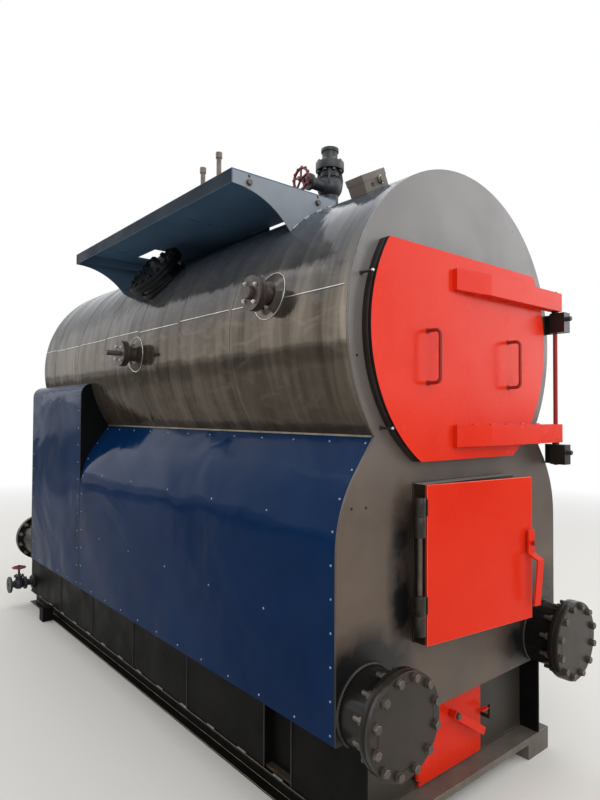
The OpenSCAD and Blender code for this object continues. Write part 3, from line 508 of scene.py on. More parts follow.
def tube(points, radius, segments=10):
    """Round bar through points, with flat ends."""
    pts = [Vector(p) for p in points]
    verts, faces = [], []
    for i, p in enumerate(pts):
        ahead = pts[min(i + 1, len(pts) - 1)] - pts[max(i - 1, 0)]
        m = aimed(p, ahead, (0.13, 0.21, 0.97))
        for k in range(segments):
            a = 2 * math.pi * k / segments
            verts.append(m @ Vector((radius * math.cos(a), radius * math.sin(a), 0)))
    for i in range(len(pts) - 1):
        for k in range(segments):
            j = (k + 1) % segments
            a, b = i * segments, (i + 1) * segments
            faces.append((a + k, a + j, b + j, b + k))
    faces.append(tuple(range(segments))[::-1])
    faces.append(tuple(range((len(pts) - 1) * segments, len(pts) * segments)))
    return verts, faces


def loop_points(x, y, z, radius, degrees):
    """Points round a line along Y, at angles up from +X."""
    return [(x + radius * math.cos(math.radians(a)), y, z + radius * math.sin(math.radians(a)))
            for a in degrees]


def drum_side_x(z):
    """Where the drum's left side is at a height."""
    return -math.sqrt(DRUM_R ** 2 - (z - DRUM_Z) ** 2)


class Piece:
    """Collects forms into one visible object that rides on a body."""

    def __init__(self, name, look, slot, body="boiler"):
        self.name, self.look, self.slot, self.body = name, look, slot, body
        self.verts, self.faces = [], []

    def add(self, form):
        start = len(self.verts)
        self.verts += [tuple(v) for v in form[0]]
        self.faces += [tuple(i + start for i in f) for f in form[1]]
        return self

    def add_all(self, forms):
        for form in forms:
            self.add(form)

    def make(self, smooth=35, bevel=0.0):
        """Builds the object, shades it smooth below an angle and sets it on its body."""
        mesh = bpy.data.meshes.new(self.name)
        mesh.from_pydata(self.verts, [], self.faces)
        mesh.validate()
        mesh.materials.append(self.look)
        piece = bpy.data.objects.new(self.name, mesh)
        bpy.context.scene.collection.objects.link(piece)
        mesh.shade_smooth()
        mesh.set_sharp_from_angle(angle=math.radians(smooth))
        if bevel:
            rounding = piece.modifiers.new("bevel", "BEVEL")
            rounding.width = bevel
            rounding.segments = 2
            rounding.limit_method = "ANGLE"
            rounding.angle_limit = BEVEL_FROM
            rounding.harden_normals = True
        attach(piece, self.body)
        return piece


def bolt_head(matrix, across, height):
    """Hexagon head on a washer, with a chamfered top."""
    washer = disc(matrix, across * 0.62, height * 0.2, 16)
    head = prism(hexagon(across), height * 0.8,
                 matrix @ Matrix.Translation((0, 0, height * 0.2)), across * 0.07)
    return [washer, head]


def stud_end(matrix, radius, height):
    """Threaded end that shows past its nut, with a chamfer."""
    return lathe([(0, 0), (radius, 0), (radius, height - radius * 0.3),
                  (radius * 0.7, height), (0, height)], matrix, 12)


def dome(matrix, radius, height, segments=10):
    """Rivet head."""
    profile = [(radius, 0.0)]
    for k in range(1, 4):
        a = math.radians(30 * k)
        profile.append((radius * math.cos(a) if k < 3 else 0, height * math.sin(a)))
    return lathe(profile, matrix, segments)


def bead(points, radius, step=0.011):
    """Weld bead: a row of overlapping ripples along a path."""
    pts = [Vector(p) for p in points]
    forms = []
    for a, b in zip(pts, pts[1:]):
        length = (b - a).length
        count = max(1, int(length / step))
        ring, profile = (b - a).normalized(), []
        for i in range(count * 3 + 1):
            ripple = 1 + 0.13 * math.sin(i * 2 * math.pi / 3)
            profile.append((radius * ripple, i * length / (count * 3)))
        forms.append(lathe([(0, 0), *profile, (0, length)], aimed(a, ring), 8))
    return forms


# Side cladding: rivets and the capping along the waist


def flank(s):
    """Point (x, z) and outward direction on the side cladding, s metres up its outline."""
    upright = LEAN_Z - SKIRT_Z
    if s < upright:
        return HALF_W, SKIRT_Z + s, 1.0, 0.0
    s -= upright
    if s < LEAN_R * LEAN_ANGLE:
        a = s / LEAN_R
        return (FLANK_ARC_X + LEAN_R * math.cos(a), LEAN_Z + LEAN_R * math.sin(a),
                math.cos(a), math.sin(a))
    s -= LEAN_R * LEAN_ANGLE
    c, n = math.cos(LEAN_ANGLE), math.sin(LEAN_ANGLE)
    return (FLANK_ARC_X + LEAN_R * c - s * n, LEAN_Z + LEAN_R * n + s * c, c, n)


FLANK_LENGTH = (LEAN_Z - SKIRT_Z + LEAN_R * LEAN_ANGLE
                + math.hypot(WAIST_X - FLANK_ARC_X - LEAN_R * math.cos(LEAN_ANGLE),
                             WAIST_Z - LEAN_Z - LEAN_R * math.sin(LEAN_ANGLE)))
RIVET_R = 0.0046
RIVET_H = 0.0026
EDGE_PITCH = 0.112
FOOT_PITCH = 0.2
RIVET_IN = 0.03
PLATE_RIVET_IN = 0.028
FOOT_RIVET_UP = 0.022
INNER_ROWS = [0.36, 0.735]
INNER_COLUMNS = [0.407, 0.81, 1.22, 1.64, 2.05]


def rivet_at(side, s, y):
    x, z, out, up = flank(s)
    return dome(aimed((side * x, y, z), (side * out, 0, up), (0, 1, 0)), RIVET_R, RIVET_H)


for side, label in ((-1, "left"), (1, "right")):
    rivets = Piece(f"cladding_rivets_{label}", RIVET, "blue_paint")
    count = int(FLANK_LENGTH / EDGE_PITCH)
    for i in range(count + 1):
        s = RIVET_IN + (FLANK_LENGTH - 2 * RIVET_IN) * i / count
        for y in (FRONT + PLATE_RIVET_IN, BOX_FACE - RIVET_IN):
            rivets.add(rivet_at(side, s, y))
    count = int((BOX_FACE - FRONT) / FOOT_PITCH)
    for i in range(1, count):
        y = FRONT + (BOX_FACE - FRONT) * i / count
        rivets.add(rivet_at(side, FOOT_RIVET_UP, y))
        rivets.add(rivet_at(side, FLANK_LENGTH - RIVET_IN, y))
    for column in INNER_COLUMNS:
        for s in INNER_ROWS:
            rivets.add(rivet_at(side, s, FRONT + column))
    rivets.make(60)
    waist = Piece(f"waist_capping_{label}", WORN, "jacket_steel")
    edge_x = sorted((side * (WAIST_X - 0.002), side * (WAIST_X + 0.006)))
    waist.add(slab((edge_x[0], FRONT + 0.011, WAIST_Z - 0.004),
                   (edge_x[1], BOX_FACE - 0.001, WAIST_Z + 0.004)))
    waist.make(bevel=0.001)


# Header ends: bolts through both flanges, and the weld where the pipe leaves the plate

bolts = Piece("header_bolts", BOLT, "header_paint")
welds = Piece("header_welds", SEAM, "header_paint")
PIPE_R = 0.1365
PIPE_WELD_OUT = 0.004
PIPE_WELD_R = 0.006
FLANGE_BOLTS = 12
BOLT_ACROSS = 0.027
HEAD_H = 0.016
NUT_H = 0.018
STUD_R = 0.0085
STUD_L = 0.046
BLIND_GAP = 0.0003
for side in (-1, 1):
    for face, out, back in ((BLIND_FRONT, -1, 1), (BLIND_REAR, 1, -1)):
        for i in range(FLANGE_BOLTS):
            a = math.radians(360 // FLANGE_BOLTS * i + 15)
            x = side * HEADER_X + FLANGE_PCD / 2 * math.cos(a)
            z = HEADER_Z + FLANGE_PCD / 2 * math.sin(a)
            m = aimed((x, face, z), (0, out, 0)) @ Matrix.Rotation(a * 3, 4, "Z")
            bolts.add_all(bolt_head(m, BOLT_ACROSS, HEAD_H))
            inner = face + back * (2 * FLANGE_T + BLIND_GAP)
            m = aimed((x, inner, z), (0, back, 0)) @ Matrix.Rotation(a * 5, 4, "Z")
            bolts.add_all(bolt_head(m, BOLT_ACROSS, NUT_H))
            bolts.add(stud_end(m, STUD_R, STUD_L))
    ring = loop_points(side * HEADER_X, FRONT - 0.003, HEADER_Z, PIPE_R + PIPE_WELD_OUT,
                       range(-50, 235, 5))
    welds.add_all(bead(ring, PIPE_WELD_R))
bolts.make()
welds.make(60)


# Rear box: rivets down its edges and along its foot and top

FOOT_IN = 0.025
EDGE_ROWS = 11
EDGE_TOP = 1.68
TOP_ROW = 1.66
for side, label in ((-1, "left"), (1, "right")):
    rivets = Piece(f"rear_box_rivets_{label}", RIVET, "blue_paint")
    low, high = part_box(f"rear_box_cladding_{label}")
    for i in range(EDGE_ROWS + 1):
        z = low.z + FOOT_IN + (EDGE_TOP - low.z) * i / EDGE_ROWS
        for y in (low.y + RIVET_IN, high.y - RIVET_IN):
            rivets.add(dome(aimed((side * HALF_W, y, z), (side, 0, 0)), RIVET_R, RIVET_H))
    for i in range(1, 5):
        y = low.y + (high.y - low.y) * i / 5
        for z in (low.z + FOOT_IN, TOP_ROW):
            rivets.add(dome(aimed((side * HALF_W, y, z), (side, 0, 0)), RIVET_R, RIVET_H))
    rivets.make(60)


# Drum: ring seams with their painted shadow strips, lengthwise lap edges coloured as painted
# highlights, and the side nozzles' collars with painted highlight edges, bolts, boss and flange
# edges

WAIST_DEG = math.degrees(math.asin((DRUM_Z - WAIST_Z) / DRUM_R))
SHEET_W = 0.463
SEAM_YS = [FRONT + 0.737 + SHEET_W * i for i in range(6)]
SEAM_W = 0.022
SEAM_STEPS = 120
LAP_DEG = 11.1
LAP_HALF_DEG = 0.13
LAP_SHADOW_DEG = 0.34


def on_drum(angle, y, out=0.0):
    """Point on the drum, angle degrees up from its left side, out metres proud."""
    a = math.radians(angle)
    r = DRUM_R + out
    return -r * math.cos(a), y, DRUM_Z + r * math.sin(a)


def strip(low_deg, high_deg, low_y, high_y, out, steps):
    """Thin strip laid on the drum between two angles and two places along it."""
    verts, faces = [], []
    for i in range(steps + 1):
        a = low_deg + (high_deg - low_deg) * i / steps
        verts += [on_drum(a, low_y, -0.001), on_drum(a, low_y, out),
                  on_drum(a, high_y, out), on_drum(a, high_y, -0.001)]
    for i in range(steps):
        for k in range(3):
            a, b = 4 * i + k, 4 * i + 4 + k
            faces.append((a, b, b + 1, a + 1))
    last = 4 * steps
    faces += [(0, 1, 2, 3), (last + 3, last + 2, last + 1, last)]
    return verts, faces


seams = Piece("drum_ring_seams", JACKET, "jacket_steel")
shadows = Piece("drum_seam_shadows", SEAM, "jacket_steel")
# Lap edges in light zinc colour: painted highlights.
lap_highlights = Piece("drum_lap_highlights", ZINC, "jacket_steel")
for y in SEAM_YS:
    seams.add(strip(-WAIST_DEG, 180 + WAIST_DEG, y, y + SEAM_W, 0.0009, SEAM_STEPS))
    shadows.add(strip(-WAIST_DEG, 180 + WAIST_DEG, y - 0.0007, y, 0.0002, SEAM_STEPS))
edges = [FRONT + 0.008, *SEAM_YS, DRUM_END]
for i, (near, far) in enumerate(zip(edges, edges[1:])):
    lean = 0.35 * math.sin(i * 2.4)
    for centre in (LAP_DEG + lean, 180 - LAP_DEG - lean):
        foot, top = centre - LAP_HALF_DEG, centre + LAP_HALF_DEG
        lap_highlights.add(strip(foot, top, near + SEAM_W, far - 0.002, 0.0018, 2))
        shadow_foot = centre - LAP_SHADOW_DEG
        shadows.add(strip(shadow_foot, foot, near + SEAM_W, far - 0.002, 0.0004, 2))
seams.make(50)
shadows.make(50)
lap_highlights.make(50)

NOZZLES = [(FRONT + 0.471, 2.057), (FRONT + 1.690, 1.909)]
NOZZLE_JOINT = 0.078
NOZZLE_FLANGE_T = 0.018
NOZZLE_PCD = 0.096
NOZZLE_FLANGE_R = 0.0625
NOZZLE_GAP = 0.0016
COLLAR_SEGMENTS = 48
collars = Piece("nozzle_collars", JACKET, "valve_iron")
rims = Piece("nozzle_collar_highlights", ZINC, "valve_iron")
nozzle_bolts = Piece("nozzle_bolts", ZINC, "valve_iron")
nozzle_joints = Piece("nozzle_joints", SEAM, "valve_iron")
for y, z in NOZZLES:
    root = drum_side_x(z)
    rings = [(0.057, 0.014), (0.070, 0.008), (0.084, 0.004), (0.097, 0.0015), (0.099, -0.002)]
    verts, faces = [], []
    for rho, proud in rings:
        for k in range(COLLAR_SEGMENTS):
            a = 2 * math.pi * k / COLLAR_SEGMENTS
            zz = z + rho * math.sin(a)
            x = drum_side_x(zz) - proud
            verts.append((x, y + rho * math.cos(a), zz))
    for r in range(len(rings) - 1):
        start, after = r * COLLAR_SEGMENTS, (r + 1) * COLLAR_SEGMENTS
        for k in range(COLLAR_SEGMENTS):
            j = (k + 1) % COLLAR_SEGMENTS
            faces.append((start + k, start + j, after + j, after + k))
    collars.add((verts, faces))
    # Thin light ring on each collar's outer edge: painted highlight.
    loop = verts[3 * COLLAR_SEGMENTS:4 * COLLAR_SEGMENTS]
    loop.append(loop[0])
    rims.add(tube(loop, 0.0022, 8))
    joint = root - NOZZLE_JOINT
    profile = [(0, -NOZZLE_GAP), (0.0012, -NOZZLE_GAP), (0.0012, NOZZLE_GAP), (0, NOZZLE_GAP)]
    nozzle_joints.add(lathe([(NOZZLE_FLANGE_R + r, h) for r, h in profile],
                            aimed((joint, y, z), (-1, 0, 0)), 40))
    for k in range(4):
        a = math.radians(45 + 90 * k + 8)
        by, bz = y + NOZZLE_PCD / 2 * math.cos(a), z + NOZZLE_PCD / 2 * math.sin(a)
        front = aimed((joint - NOZZLE_FLANGE_T, by, bz), (-1, 0, 0))
        back = aimed((joint + NOZZLE_FLANGE_T, by, bz), (1, 0, 0))
        nozzle_bolts.add_all(bolt_head(front, 0.014, 0.008) + bolt_head(back, 0.014, 0.009))
        nozzle_bolts.add(stud_end(front, 0.0038, 0.013))
collars.make(50)
rims.make(60)
boss = Piece("nozzle_boss", NOZZLE_IRON, "valve_iron")
y, z = NOZZLES[0]
face = drum_side_x(z) - NOZZLE_JOINT - NOZZLE_FLANGE_T
boss.add(lathe([(0, -0.001), (0.027, -0.001), (0.027, 0.017), (0.024, 0.021), (0, 0.021)],
               aimed((face, y, z), (-1, 0, 0)), 36))
boss.make()
flange_rims = Piece("nozzle_flange_rims", NOZZLE_IRON, "valve_iron")
for y, z in NOZZLES:
    joint = drum_side_x(z) - NOZZLE_JOINT
    place = aimed((joint, y, z), (-1, 0, 0))
    for low, high in ((-0.0178, -NOZZLE_GAP), (NOZZLE_GAP, 0.0176)):
        profile = [(0, low), (0.007, low), (0.008, low + 0.001), (0.008, high - 0.001),
                   (0.007, high), (0, high)]
        flange_rims.add(lathe([(NOZZLE_FLANGE_R + r, h) for r, h in profile], place, 48))
flange_rims.make()
nozzle_bolts.make()
nozzle_joints.make()


# Manhole: cover bolts and a lifting handle

MANHOLE_Y = FRONT + 1.690
MANHOLE_DEG = 41.0
MANHOLE_R = (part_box("manhole")[1].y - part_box("manhole")[0].y) / 2
MANHOLE_COVER = DRUM_R + 0.090
MANHOLE_BOLTS = 16
MANHOLE_BOLT_IN = 0.030
a = math.radians(MANHOLE_DEG)
manhole_at = aimed((0, MANHOLE_Y, DRUM_Z), (-math.cos(a), 0, math.sin(a)), (0, 1, 0))
# Cover bolts and handle in the manhole's near-black: painted shade.
cover_bolts = Piece("manhole_bolts", BLACK_AND_SHADE, "header_paint")
for k in range(MANHOLE_BOLTS):
    a = math.radians(360 / MANHOLE_BOLTS * k)
    r = MANHOLE_R - MANHOLE_BOLT_IN
    place = manhole_at @ Matrix.Translation((r * math.cos(a), r * math.sin(a), MANHOLE_COVER))
    cover_bolts.add_all(bolt_head(place, 0.024, 0.014))
cover_bolts.make()
handle = Piece("manhole_handle", BLACK_AND_SHADE, "header_paint")
reach = [(-0.06, 0, 0), (-0.06, 0, 0.03), (-0.05, 0, 0.04), (0.05, 0, 0.04), (0.06, 0, 0.03),
         (0.06, 0, 0)]
handle.add(tube([manhole_at @ Vector((x, y, MANHOLE_COVER + z)) for x, y, z in reach], 0.006, 12))
handle.make(50)


# Valves: flange bolts, ribs on the body and knobs round each wheel's rim

STEAM_AT = (0, FRONT + 0.83)
STEAM_FLANGES = ((2.656, 2.620), (2.892, 2.850))
STEAM_BOLT_R = 0.059
steam_bolts = Piece("steam_valve_bolts", BOLT, "valve_iron")
for top, bottom in STEAM_FLANGES:
    for k in range(8):
        a = math.radians(45 * k + 22.5)
        x, y = STEAM_AT[0] + STEAM_BOLT_R * math.cos(a), STEAM_AT[1] + STEAM_BOLT_R * math.sin(a)
        steam_bolts.add_all(bolt_head(aimed((x, y, top), (0, 0, 1)), 0.017, 0.011))
        steam_bolts.add_all(bolt_head(aimed((x, y, bottom), (0, 0, -1)), 0.017, 0.011))
        steam_bolts.add(stud_end(aimed((x, y, top), (0, 0, 1)), 0.0045, 0.017))
steam_bolts.make()
ribs = Piece("steam_valve_ribs", IRON, "valve_iron")
for k in range(4):
    turn = Matrix.Translation((STEAM_AT[0], STEAM_AT[1], 0)) @ Matrix.Rotation(
        math.radians(45 + 90 * k), 4, "Z")
    lie = turn @ Matrix.Translation((0, 0.005, 0)) @ Matrix.Rotation(math.radians(90), 4, "X")
    ribs.add(prism([(0.04, 2.72), (0.067, 2.765), (0.070, 2.80), (0.062, 2.85), (0.04, 2.85)],
                   0.010, lie))
ribs.make(bevel=0.002)


def rim_knobs(name, body, slot, centre, axis, radius, count, size, look):
    """Knobs round a handwheel's rim."""
    piece = Piece(name, look, slot, body)
    frame_at = aimed(centre, axis, (0.3, 0.9, 0.1))
    profile = [(0, -1), (0.55, -0.83), (0.9, -0.42), (1, 0), (0.9, 0.42), (0.55, 0.83), (0, 1)]
    for k in range(count):
        a = 2 * math.pi * k / count
        place = frame_at @ Matrix.Translation((radius * math.cos(a), radius * math.sin(a), 0))
        piece.add(lathe([(r * size, h * size) for r, h in profile], place, 12))
    piece.make(60)


low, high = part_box("steam_handwheel")
rim_knobs("steam_wheel_knobs", "steam_handwheel", "wheel_paint",
          ((low.x + high.x) / 2, STEAM_AT[1], (low.z + high.z) / 2), (-1, 0, 0),
          (high.z - low.z) / 2 - 0.003, 12, 0.0085, WHEEL)
nut = Piece("steam_wheel_nut", BOLT, "wheel_paint", "steam_handwheel")
nut.add(prism(hexagon(0.019), 0.008, aimed((low.x, STEAM_AT[1], (low.z + high.z) / 2),
                                           (-1, 0, 0)), 0.0015))
nut.make()
low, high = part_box("blowdown_handwheel")
rim_knobs("blowdown_wheel_knobs", "blowdown_handwheel", "wheel_paint",
          ((low.x + high.x) / 2, (low.y + high.y) / 2, (low.z + high.z) / 2), (0, 0, 1),
          (high.y - low.y) / 2 - 0.003, 10, 0.0075, WHEEL)
nut = Piece("blowdown_wheel_nut", BOLT, "wheel_paint", "blowdown_handwheel")
nut.add(prism(hexagon(0.017), 0.008, aimed(((low.x + high.x) / 2, (low.y + high.y) / 2, high.z),
                                           (0, 0, 1)), 0.0015))
nut.make()
BLOW_Y = (low.y + high.y) / 2
BLOW_Z = 0.184
BLOW_X = -0.699
blow_bolts = Piece("blowdown_bolts", BOLT, "valve_iron")
for k in range(4):
    a = math.radians(45 + 90 * k)
    for x, r in ((-BASE_X - 0.016, 0.040), (BLOW_X + 0.040, 0.037)):
        place = aimed((x, BLOW_Y + r * math.cos(a), BLOW_Z + r * math.sin(a)), (-1, 0, 0))
        blow_bolts.add_all(bolt_head(place, 0.015, 0.010))
for k in range(6):
    a = math.radians(60 * k)
    place = aimed((BLOW_X + 0.030 * math.cos(a), BLOW_Y + 0.030 * math.sin(a), BLOW_Z + 0.068),
                  (0, 0, 1))
    blow_bolts.add_all(bolt_head(place, 0.010, 0.007))
blow_bolts.make()


# Junction box: lid, lid screws, the gland's nut and a plugged hole

JUNCTION_Y = FRONT + 0.205
JUNCTION_DEG = -27
LID_TOP = 0.070
TO_FRONT = Matrix.Rotation(math.radians(90), 4, "X")
box_at = (Matrix.Translation((0, JUNCTION_Y, DRUM_Z))
          @ Matrix.Rotation(math.radians(JUNCTION_DEG), 4, "Y"))
lid = Piece("junction_box_lid", BOX, "box_paint")
verts, faces = slab((-0.0742, -0.0022, DRUM_R + 0.047), (0.0742, 0.0922, DRUM_R + 0.0704))
lid.add(([box_at @ v for v in verts], faces))
lid.make(bevel=0.003)
screws = Piece("junction_box_screws", ZINC, "box_paint")
for x in (-0.060, 0.060):
    for y in (0.012, 0.078):
        screws.add(dome(box_at @ Matrix.Translation((x, y, DRUM_R + LID_TOP)), 0.0045, 0.003, 12))
screws.add(prism(hexagon(0.031), 0.007,
                 box_at @ Matrix.Translation((0.028, -0.004, DRUM_R + 0.030)) @ TO_FRONT, 0.001))
screws.make()
plug = Piece("junction_box_plug", SEAM, "box_paint")
plug.add(disc(box_at @ Matrix.Translation((-0.022, 0, DRUM_R + 0.022)) @ TO_FRONT,
              0.009, 0.002, 20))
plug.make()


# Walkway: bracket bolts, spare holes drawn as dark discs of painted shade, a bearer and an angle
# under the deck, and foot welds

deck_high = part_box("walkway_deck")[1]
BRACKETS = (("walkway_bracket_front", 0, -1), ("walkway_bracket_rear", 1, 1))
BRACKET_BOLTS = ((-0.712, 0.042), (-0.337, 0.040))
SPARE_HOLE_UP = 0.027
SPARE_HOLE_R = 0.0065
HOLE_MARK_H = 0.0004
deck_bolts = Piece("walkway_bolts", BOLT, "bracket_paint")
deck_hole_shades = Piece("walkway_hole_shadows", SEAM, "bracket_paint")
for name, face, out in BRACKETS:
    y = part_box(name)[face].y
    for x, drop in BRACKET_BOLTS:
        z = deck_high.z - drop
        deck_bolts.add_all(bolt_head(aimed((x, y, z), (0, out, 0)), 0.022, 0.013))
        # Dark disc on each spare hole: painted shade in the hole.
        place = aimed((x + 0.001, y, z + SPARE_HOLE_UP), (0, out, 0))
        deck_hole_shades.add(disc(place, SPARE_HOLE_R, HOLE_MARK_H, 16))
deck_bolts.make()
deck_hole_shades.make()
rear_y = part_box("walkway_bracket_rear")[0].y
under_deck = deck_high.z - 0.0055
BEARER_LEFT = -0.785
BEARER_RIGHT = -0.250
# Bearer in the lightened deck navy: painted light.
bearer = Piece("walkway_bearer", DECK_PAINT_LIGHTENED, "bracket_paint")
bearer.add(slab((BEARER_LEFT, rear_y - 0.050, deck_high.z - 0.052),
                (BEARER_RIGHT, rear_y - 0.045, under_deck)))
bearer.add(slab((BEARER_LEFT, rear_y - 0.0451, deck_high.z - 0.0105),
                (BEARER_RIGHT, rear_y - 0.001, under_deck)))
bearer.make(bevel=0.001)
# Angle under the deck in the darker navy: painted shade.
inner = Piece("walkway_inner_angle", DECK_EDGE_SHADE, "bracket_paint")
ANGLE_X = 0.218
ANGLE_START = FRONT + 1.06
angle_foot = DRUM_Z + math.sqrt(DRUM_R ** 2 - ANGLE_X ** 2) + 0.0005
inner.add(slab((deck_high.x - 0.004, ANGLE_START, angle_foot),
               (deck_high.x, rear_y - 0.001, under_deck)))
inner.make()
foot = Piece("walkway_foot_welds", ZINC, "bracket_paint")
for name, face, out in BRACKETS:
    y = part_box(name)[face].y + out * 0.002
    for start in (45, 52, 59, 66):
        foot.add_all(bead([on_drum(start + k, y, 0.002) for k in range(4)], 0.0035))
foot.make(60)


# Smokebox door: stitch welds along the arms, studs on the seat and the set bolts of the hinges

arms_low, arms_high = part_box("smokebox_door_arms")
ARM_H = 0.085
STITCHES = 6
STITCH_PITCH = 0.118
STITCH_L = 0.042
stitches = Piece("arm_stitch_welds", RED, "red_paint", "smokebox_door")
for z0 in (arms_low.z, arms_high.z - ARM_H):
    for z in (z0 - 0.0015, z0 + ARM_H + 0.0015):
        for k in range(STITCHES):
            x, y = arms_low.x + 0.02 + STITCH_PITCH * k, DOOR_FACE - 0.0015
            stitches.add_all(bead([(x, y, z), (x + STITCH_L, y, z)], 0.004))
stitches.make(60)
handle_welds = Piece("handle_welds", RED_DEEP, "dark_red_paint", "smokebox_door")
handles_low, handles_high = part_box("smokebox_door_handles")
for x in (handles_low.x + 0.007, handles_high.x - 0.007):
    for z in (handles_low.z + 0.007, handles_high.z - 0.007):
        ring = loop_points(x, DOOR_FACE - 0.001, z, 0.009, range(0, 361, 30))
        handle_welds.add_all(bead(ring, 0.0028, 0.004))
handle_welds.make(60)
SEAT_STUDS = ((-0.613, 2.075), (-0.511, 1.532))
studs = Piece("seat_studs", BLACK, "header_paint")
stud_tips = Piece("seat_stud_tips", ZINC, "header_paint")
for x, z in SEAT_STUDS:
    place = aimed((x, FRONT, z), (0, -1, 0))
    studs.add(lathe([(0.009, -0.001), (0.0065, 0.004), (0.0048, 0.006), (0.0048, 0.056),
                     (0, 0.056)], place, 14))
    stud_tips.add(stud_end(place @ Matrix.Translation((0, 0, 0.054)), 0.0055, 0.007))
studs.make()
stud_tips.make()
HINGE_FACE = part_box("smokebox_hinge_brackets")[0].y
HINGE_X = 0.628
set_bolts = Piece("hinge_set_bolts", IRON, "header_paint")
for z in (arms_low.z - 0.046, arms_high.z - ARM_H - 0.040):
    place = aimed((HINGE_X, HINGE_FACE, z), (0, -1, 0))
    set_bolts.add(disc(place, 0.006, 0.014, 14))
    set_bolts.add_all(bolt_head(place @ Matrix.Translation((0, 0, 0.012)), 0.019, 0.010))
    set_bolts.add(prism(hexagon(0.019), 0.008, place, 0.001))
set_bolts.make()


# Fire door: frame weld, latch bolt, barrel welds and the bare rod between the barrels

frame_welds = Piece("fire_frame_welds", BLACK, "header_paint")
FRAME_LEFT = -0.332
FRAME_RIGHT = 0.275
z0, z1 = fire_low.z, fire_high.z
corners = [(FRAME_LEFT, z0), (FRAME_RIGHT, z0), (FRAME_RIGHT, z1), (FRAME_LEFT, z1),
           (FRAME_LEFT, z0)]
frame_welds.add_all(bead([(x, FRONT - 0.0015, z) for x, z in corners], 0.0045))
frame_welds.make(60)
FIRE_AXIS = (-0.356, FRONT - 0.052)
FIRE_AJAR = math.radians(7)
BARREL_ZS = (0.775, 1.132)
BARREL_H = 0.0723
FIRE_FRAME_OUT = 0.054
SEAT_GAP = 0.0003
FIRE_DOOR_T = 0.012
fire_turn = (Matrix.Translation((FIRE_AXIS[0], FIRE_AXIS[1], 0))
             @ Matrix.Rotation(-FIRE_AJAR, 4, "Z")
             @ Matrix.Translation((-FIRE_AXIS[0], -FIRE_AXIS[1], 0)))
FIRE_FACE = FRONT - FIRE_FRAME_OUT - SEAT_GAP - FIRE_DOOR_T
latch_bolt = Piece("latch_bolt", RED_DEEP, "red_paint", "fire_door_latch")
place = fire_turn @ aimed((0.245, FIRE_FACE - 0.028, 1.052), (0, -1, 0))
latch_bolt.add_all(bolt_head(place, 0.017, 0.009))
latch_bolt.make()
barrel_welds = Piece("barrel_welds", BLACK, "header_paint", "fire_door")
for z in BARREL_ZS:
    top = z + BARREL_H
    path = [fire_turn @ Vector((-0.3335, FIRE_FACE - 0.001, top + h)) for h in (0.006, 0.066)]
    barrel_welds.add_all(bead(path, 0.0035))
barrel_welds.make(60)
ROD_FOOT = 0.9198
ROD_TOP = 1.133
ROD_R = 0.0095
fire_rod = Piece("fire_hinge_rod", BOLT, "header_paint")
fire_rod.add(lathe([(0, ROD_FOOT), (ROD_R, ROD_FOOT), (ROD_R, ROD_TOP), (0, ROD_TOP)],
                   Matrix.Translation((FIRE_AXIS[0], FIRE_AXIS[1], 0)), 24))
fire_rod.make()


# Ash door: bolt of the latch bar and the catch at the door's edge

ASH_BAR_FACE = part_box("ash_door_latch")[0].y
ASH_PIVOT = (0.005, 0.338)
ash_bolt = Piece("ash_latch_bolt", BOLT, "red_paint", "ash_door_latch")
place = aimed((ASH_PIVOT[0], ASH_BAR_FACE, ASH_PIVOT[1]), (0, -1, 0))
ash_bolt.add_all(bolt_head(place, 0.024, 0.012))
ash_bolt.make()
catch = Piece("ash_door_catch", RED, "red_paint", "ash_door")
catch.add(slab((0.180, ASH_FACE - 0.020, 0.300), (0.226, ASH_FACE + 0.001, 0.306)))
catch.make(bevel=0.001)


# Front plate: three small spare holes, each a dark disc of painted shade

PLATE_HOLES = ((-0.655, 1.257), (-0.585, 1.254), (-0.631, 1.785))
plate_hole_shades = Piece("plate_hole_shadows", BLACK_AND_SHADE, "plate_paint")
for x, z in PLATE_HOLES:
    plate_hole_shades.add(disc(aimed((x, FRONT, z), (0, -1, 0)), 0.005, HOLE_MARK_H, 16))
plate_hole_shades.make()


# Base: upright weld seams on the walls, and welds along the skids

WALL_SEAMS = (0.407, 0.588, 1.241, 1.875, 2.510, 3.144)
WALL_SEAM_TOP = 0.430
SKID_WELDS = 14
SKID_WELD_PITCH = 0.26
SKID_WELD_L = 0.06
wall_seams = Piece("base_wall_seams", SEAM, "frame_paint")
for side in (-1, 1):
    for y in WALL_SEAMS:
        x = side * (BASE_X + 0.001)
        foot, top = (x, FRONT + y, SKID_H + 0.004), (x, FRONT + y, WALL_SEAM_TOP)
        wall_seams.add_all(bead([foot, top], 0.0035))
wall_seams.make(60)
skid_welds = Piece("skid_welds", WELD, "frame_paint")
for side in (-1, 1):
    for k in range(SKID_WELDS):
        y = FRONT + 0.2 + SKID_WELD_PITCH * k
        x, z = side * (BASE_X + 0.002), SKID_H + 0.003
        skid_welds.add_all(bead([(x, y, z), (x, y + SKID_WELD_L, z)], 0.004))
skid_welds.make(60)


# Rear: welds round the header pipes, flue outlet and drum cover, and the rear plate's rivets

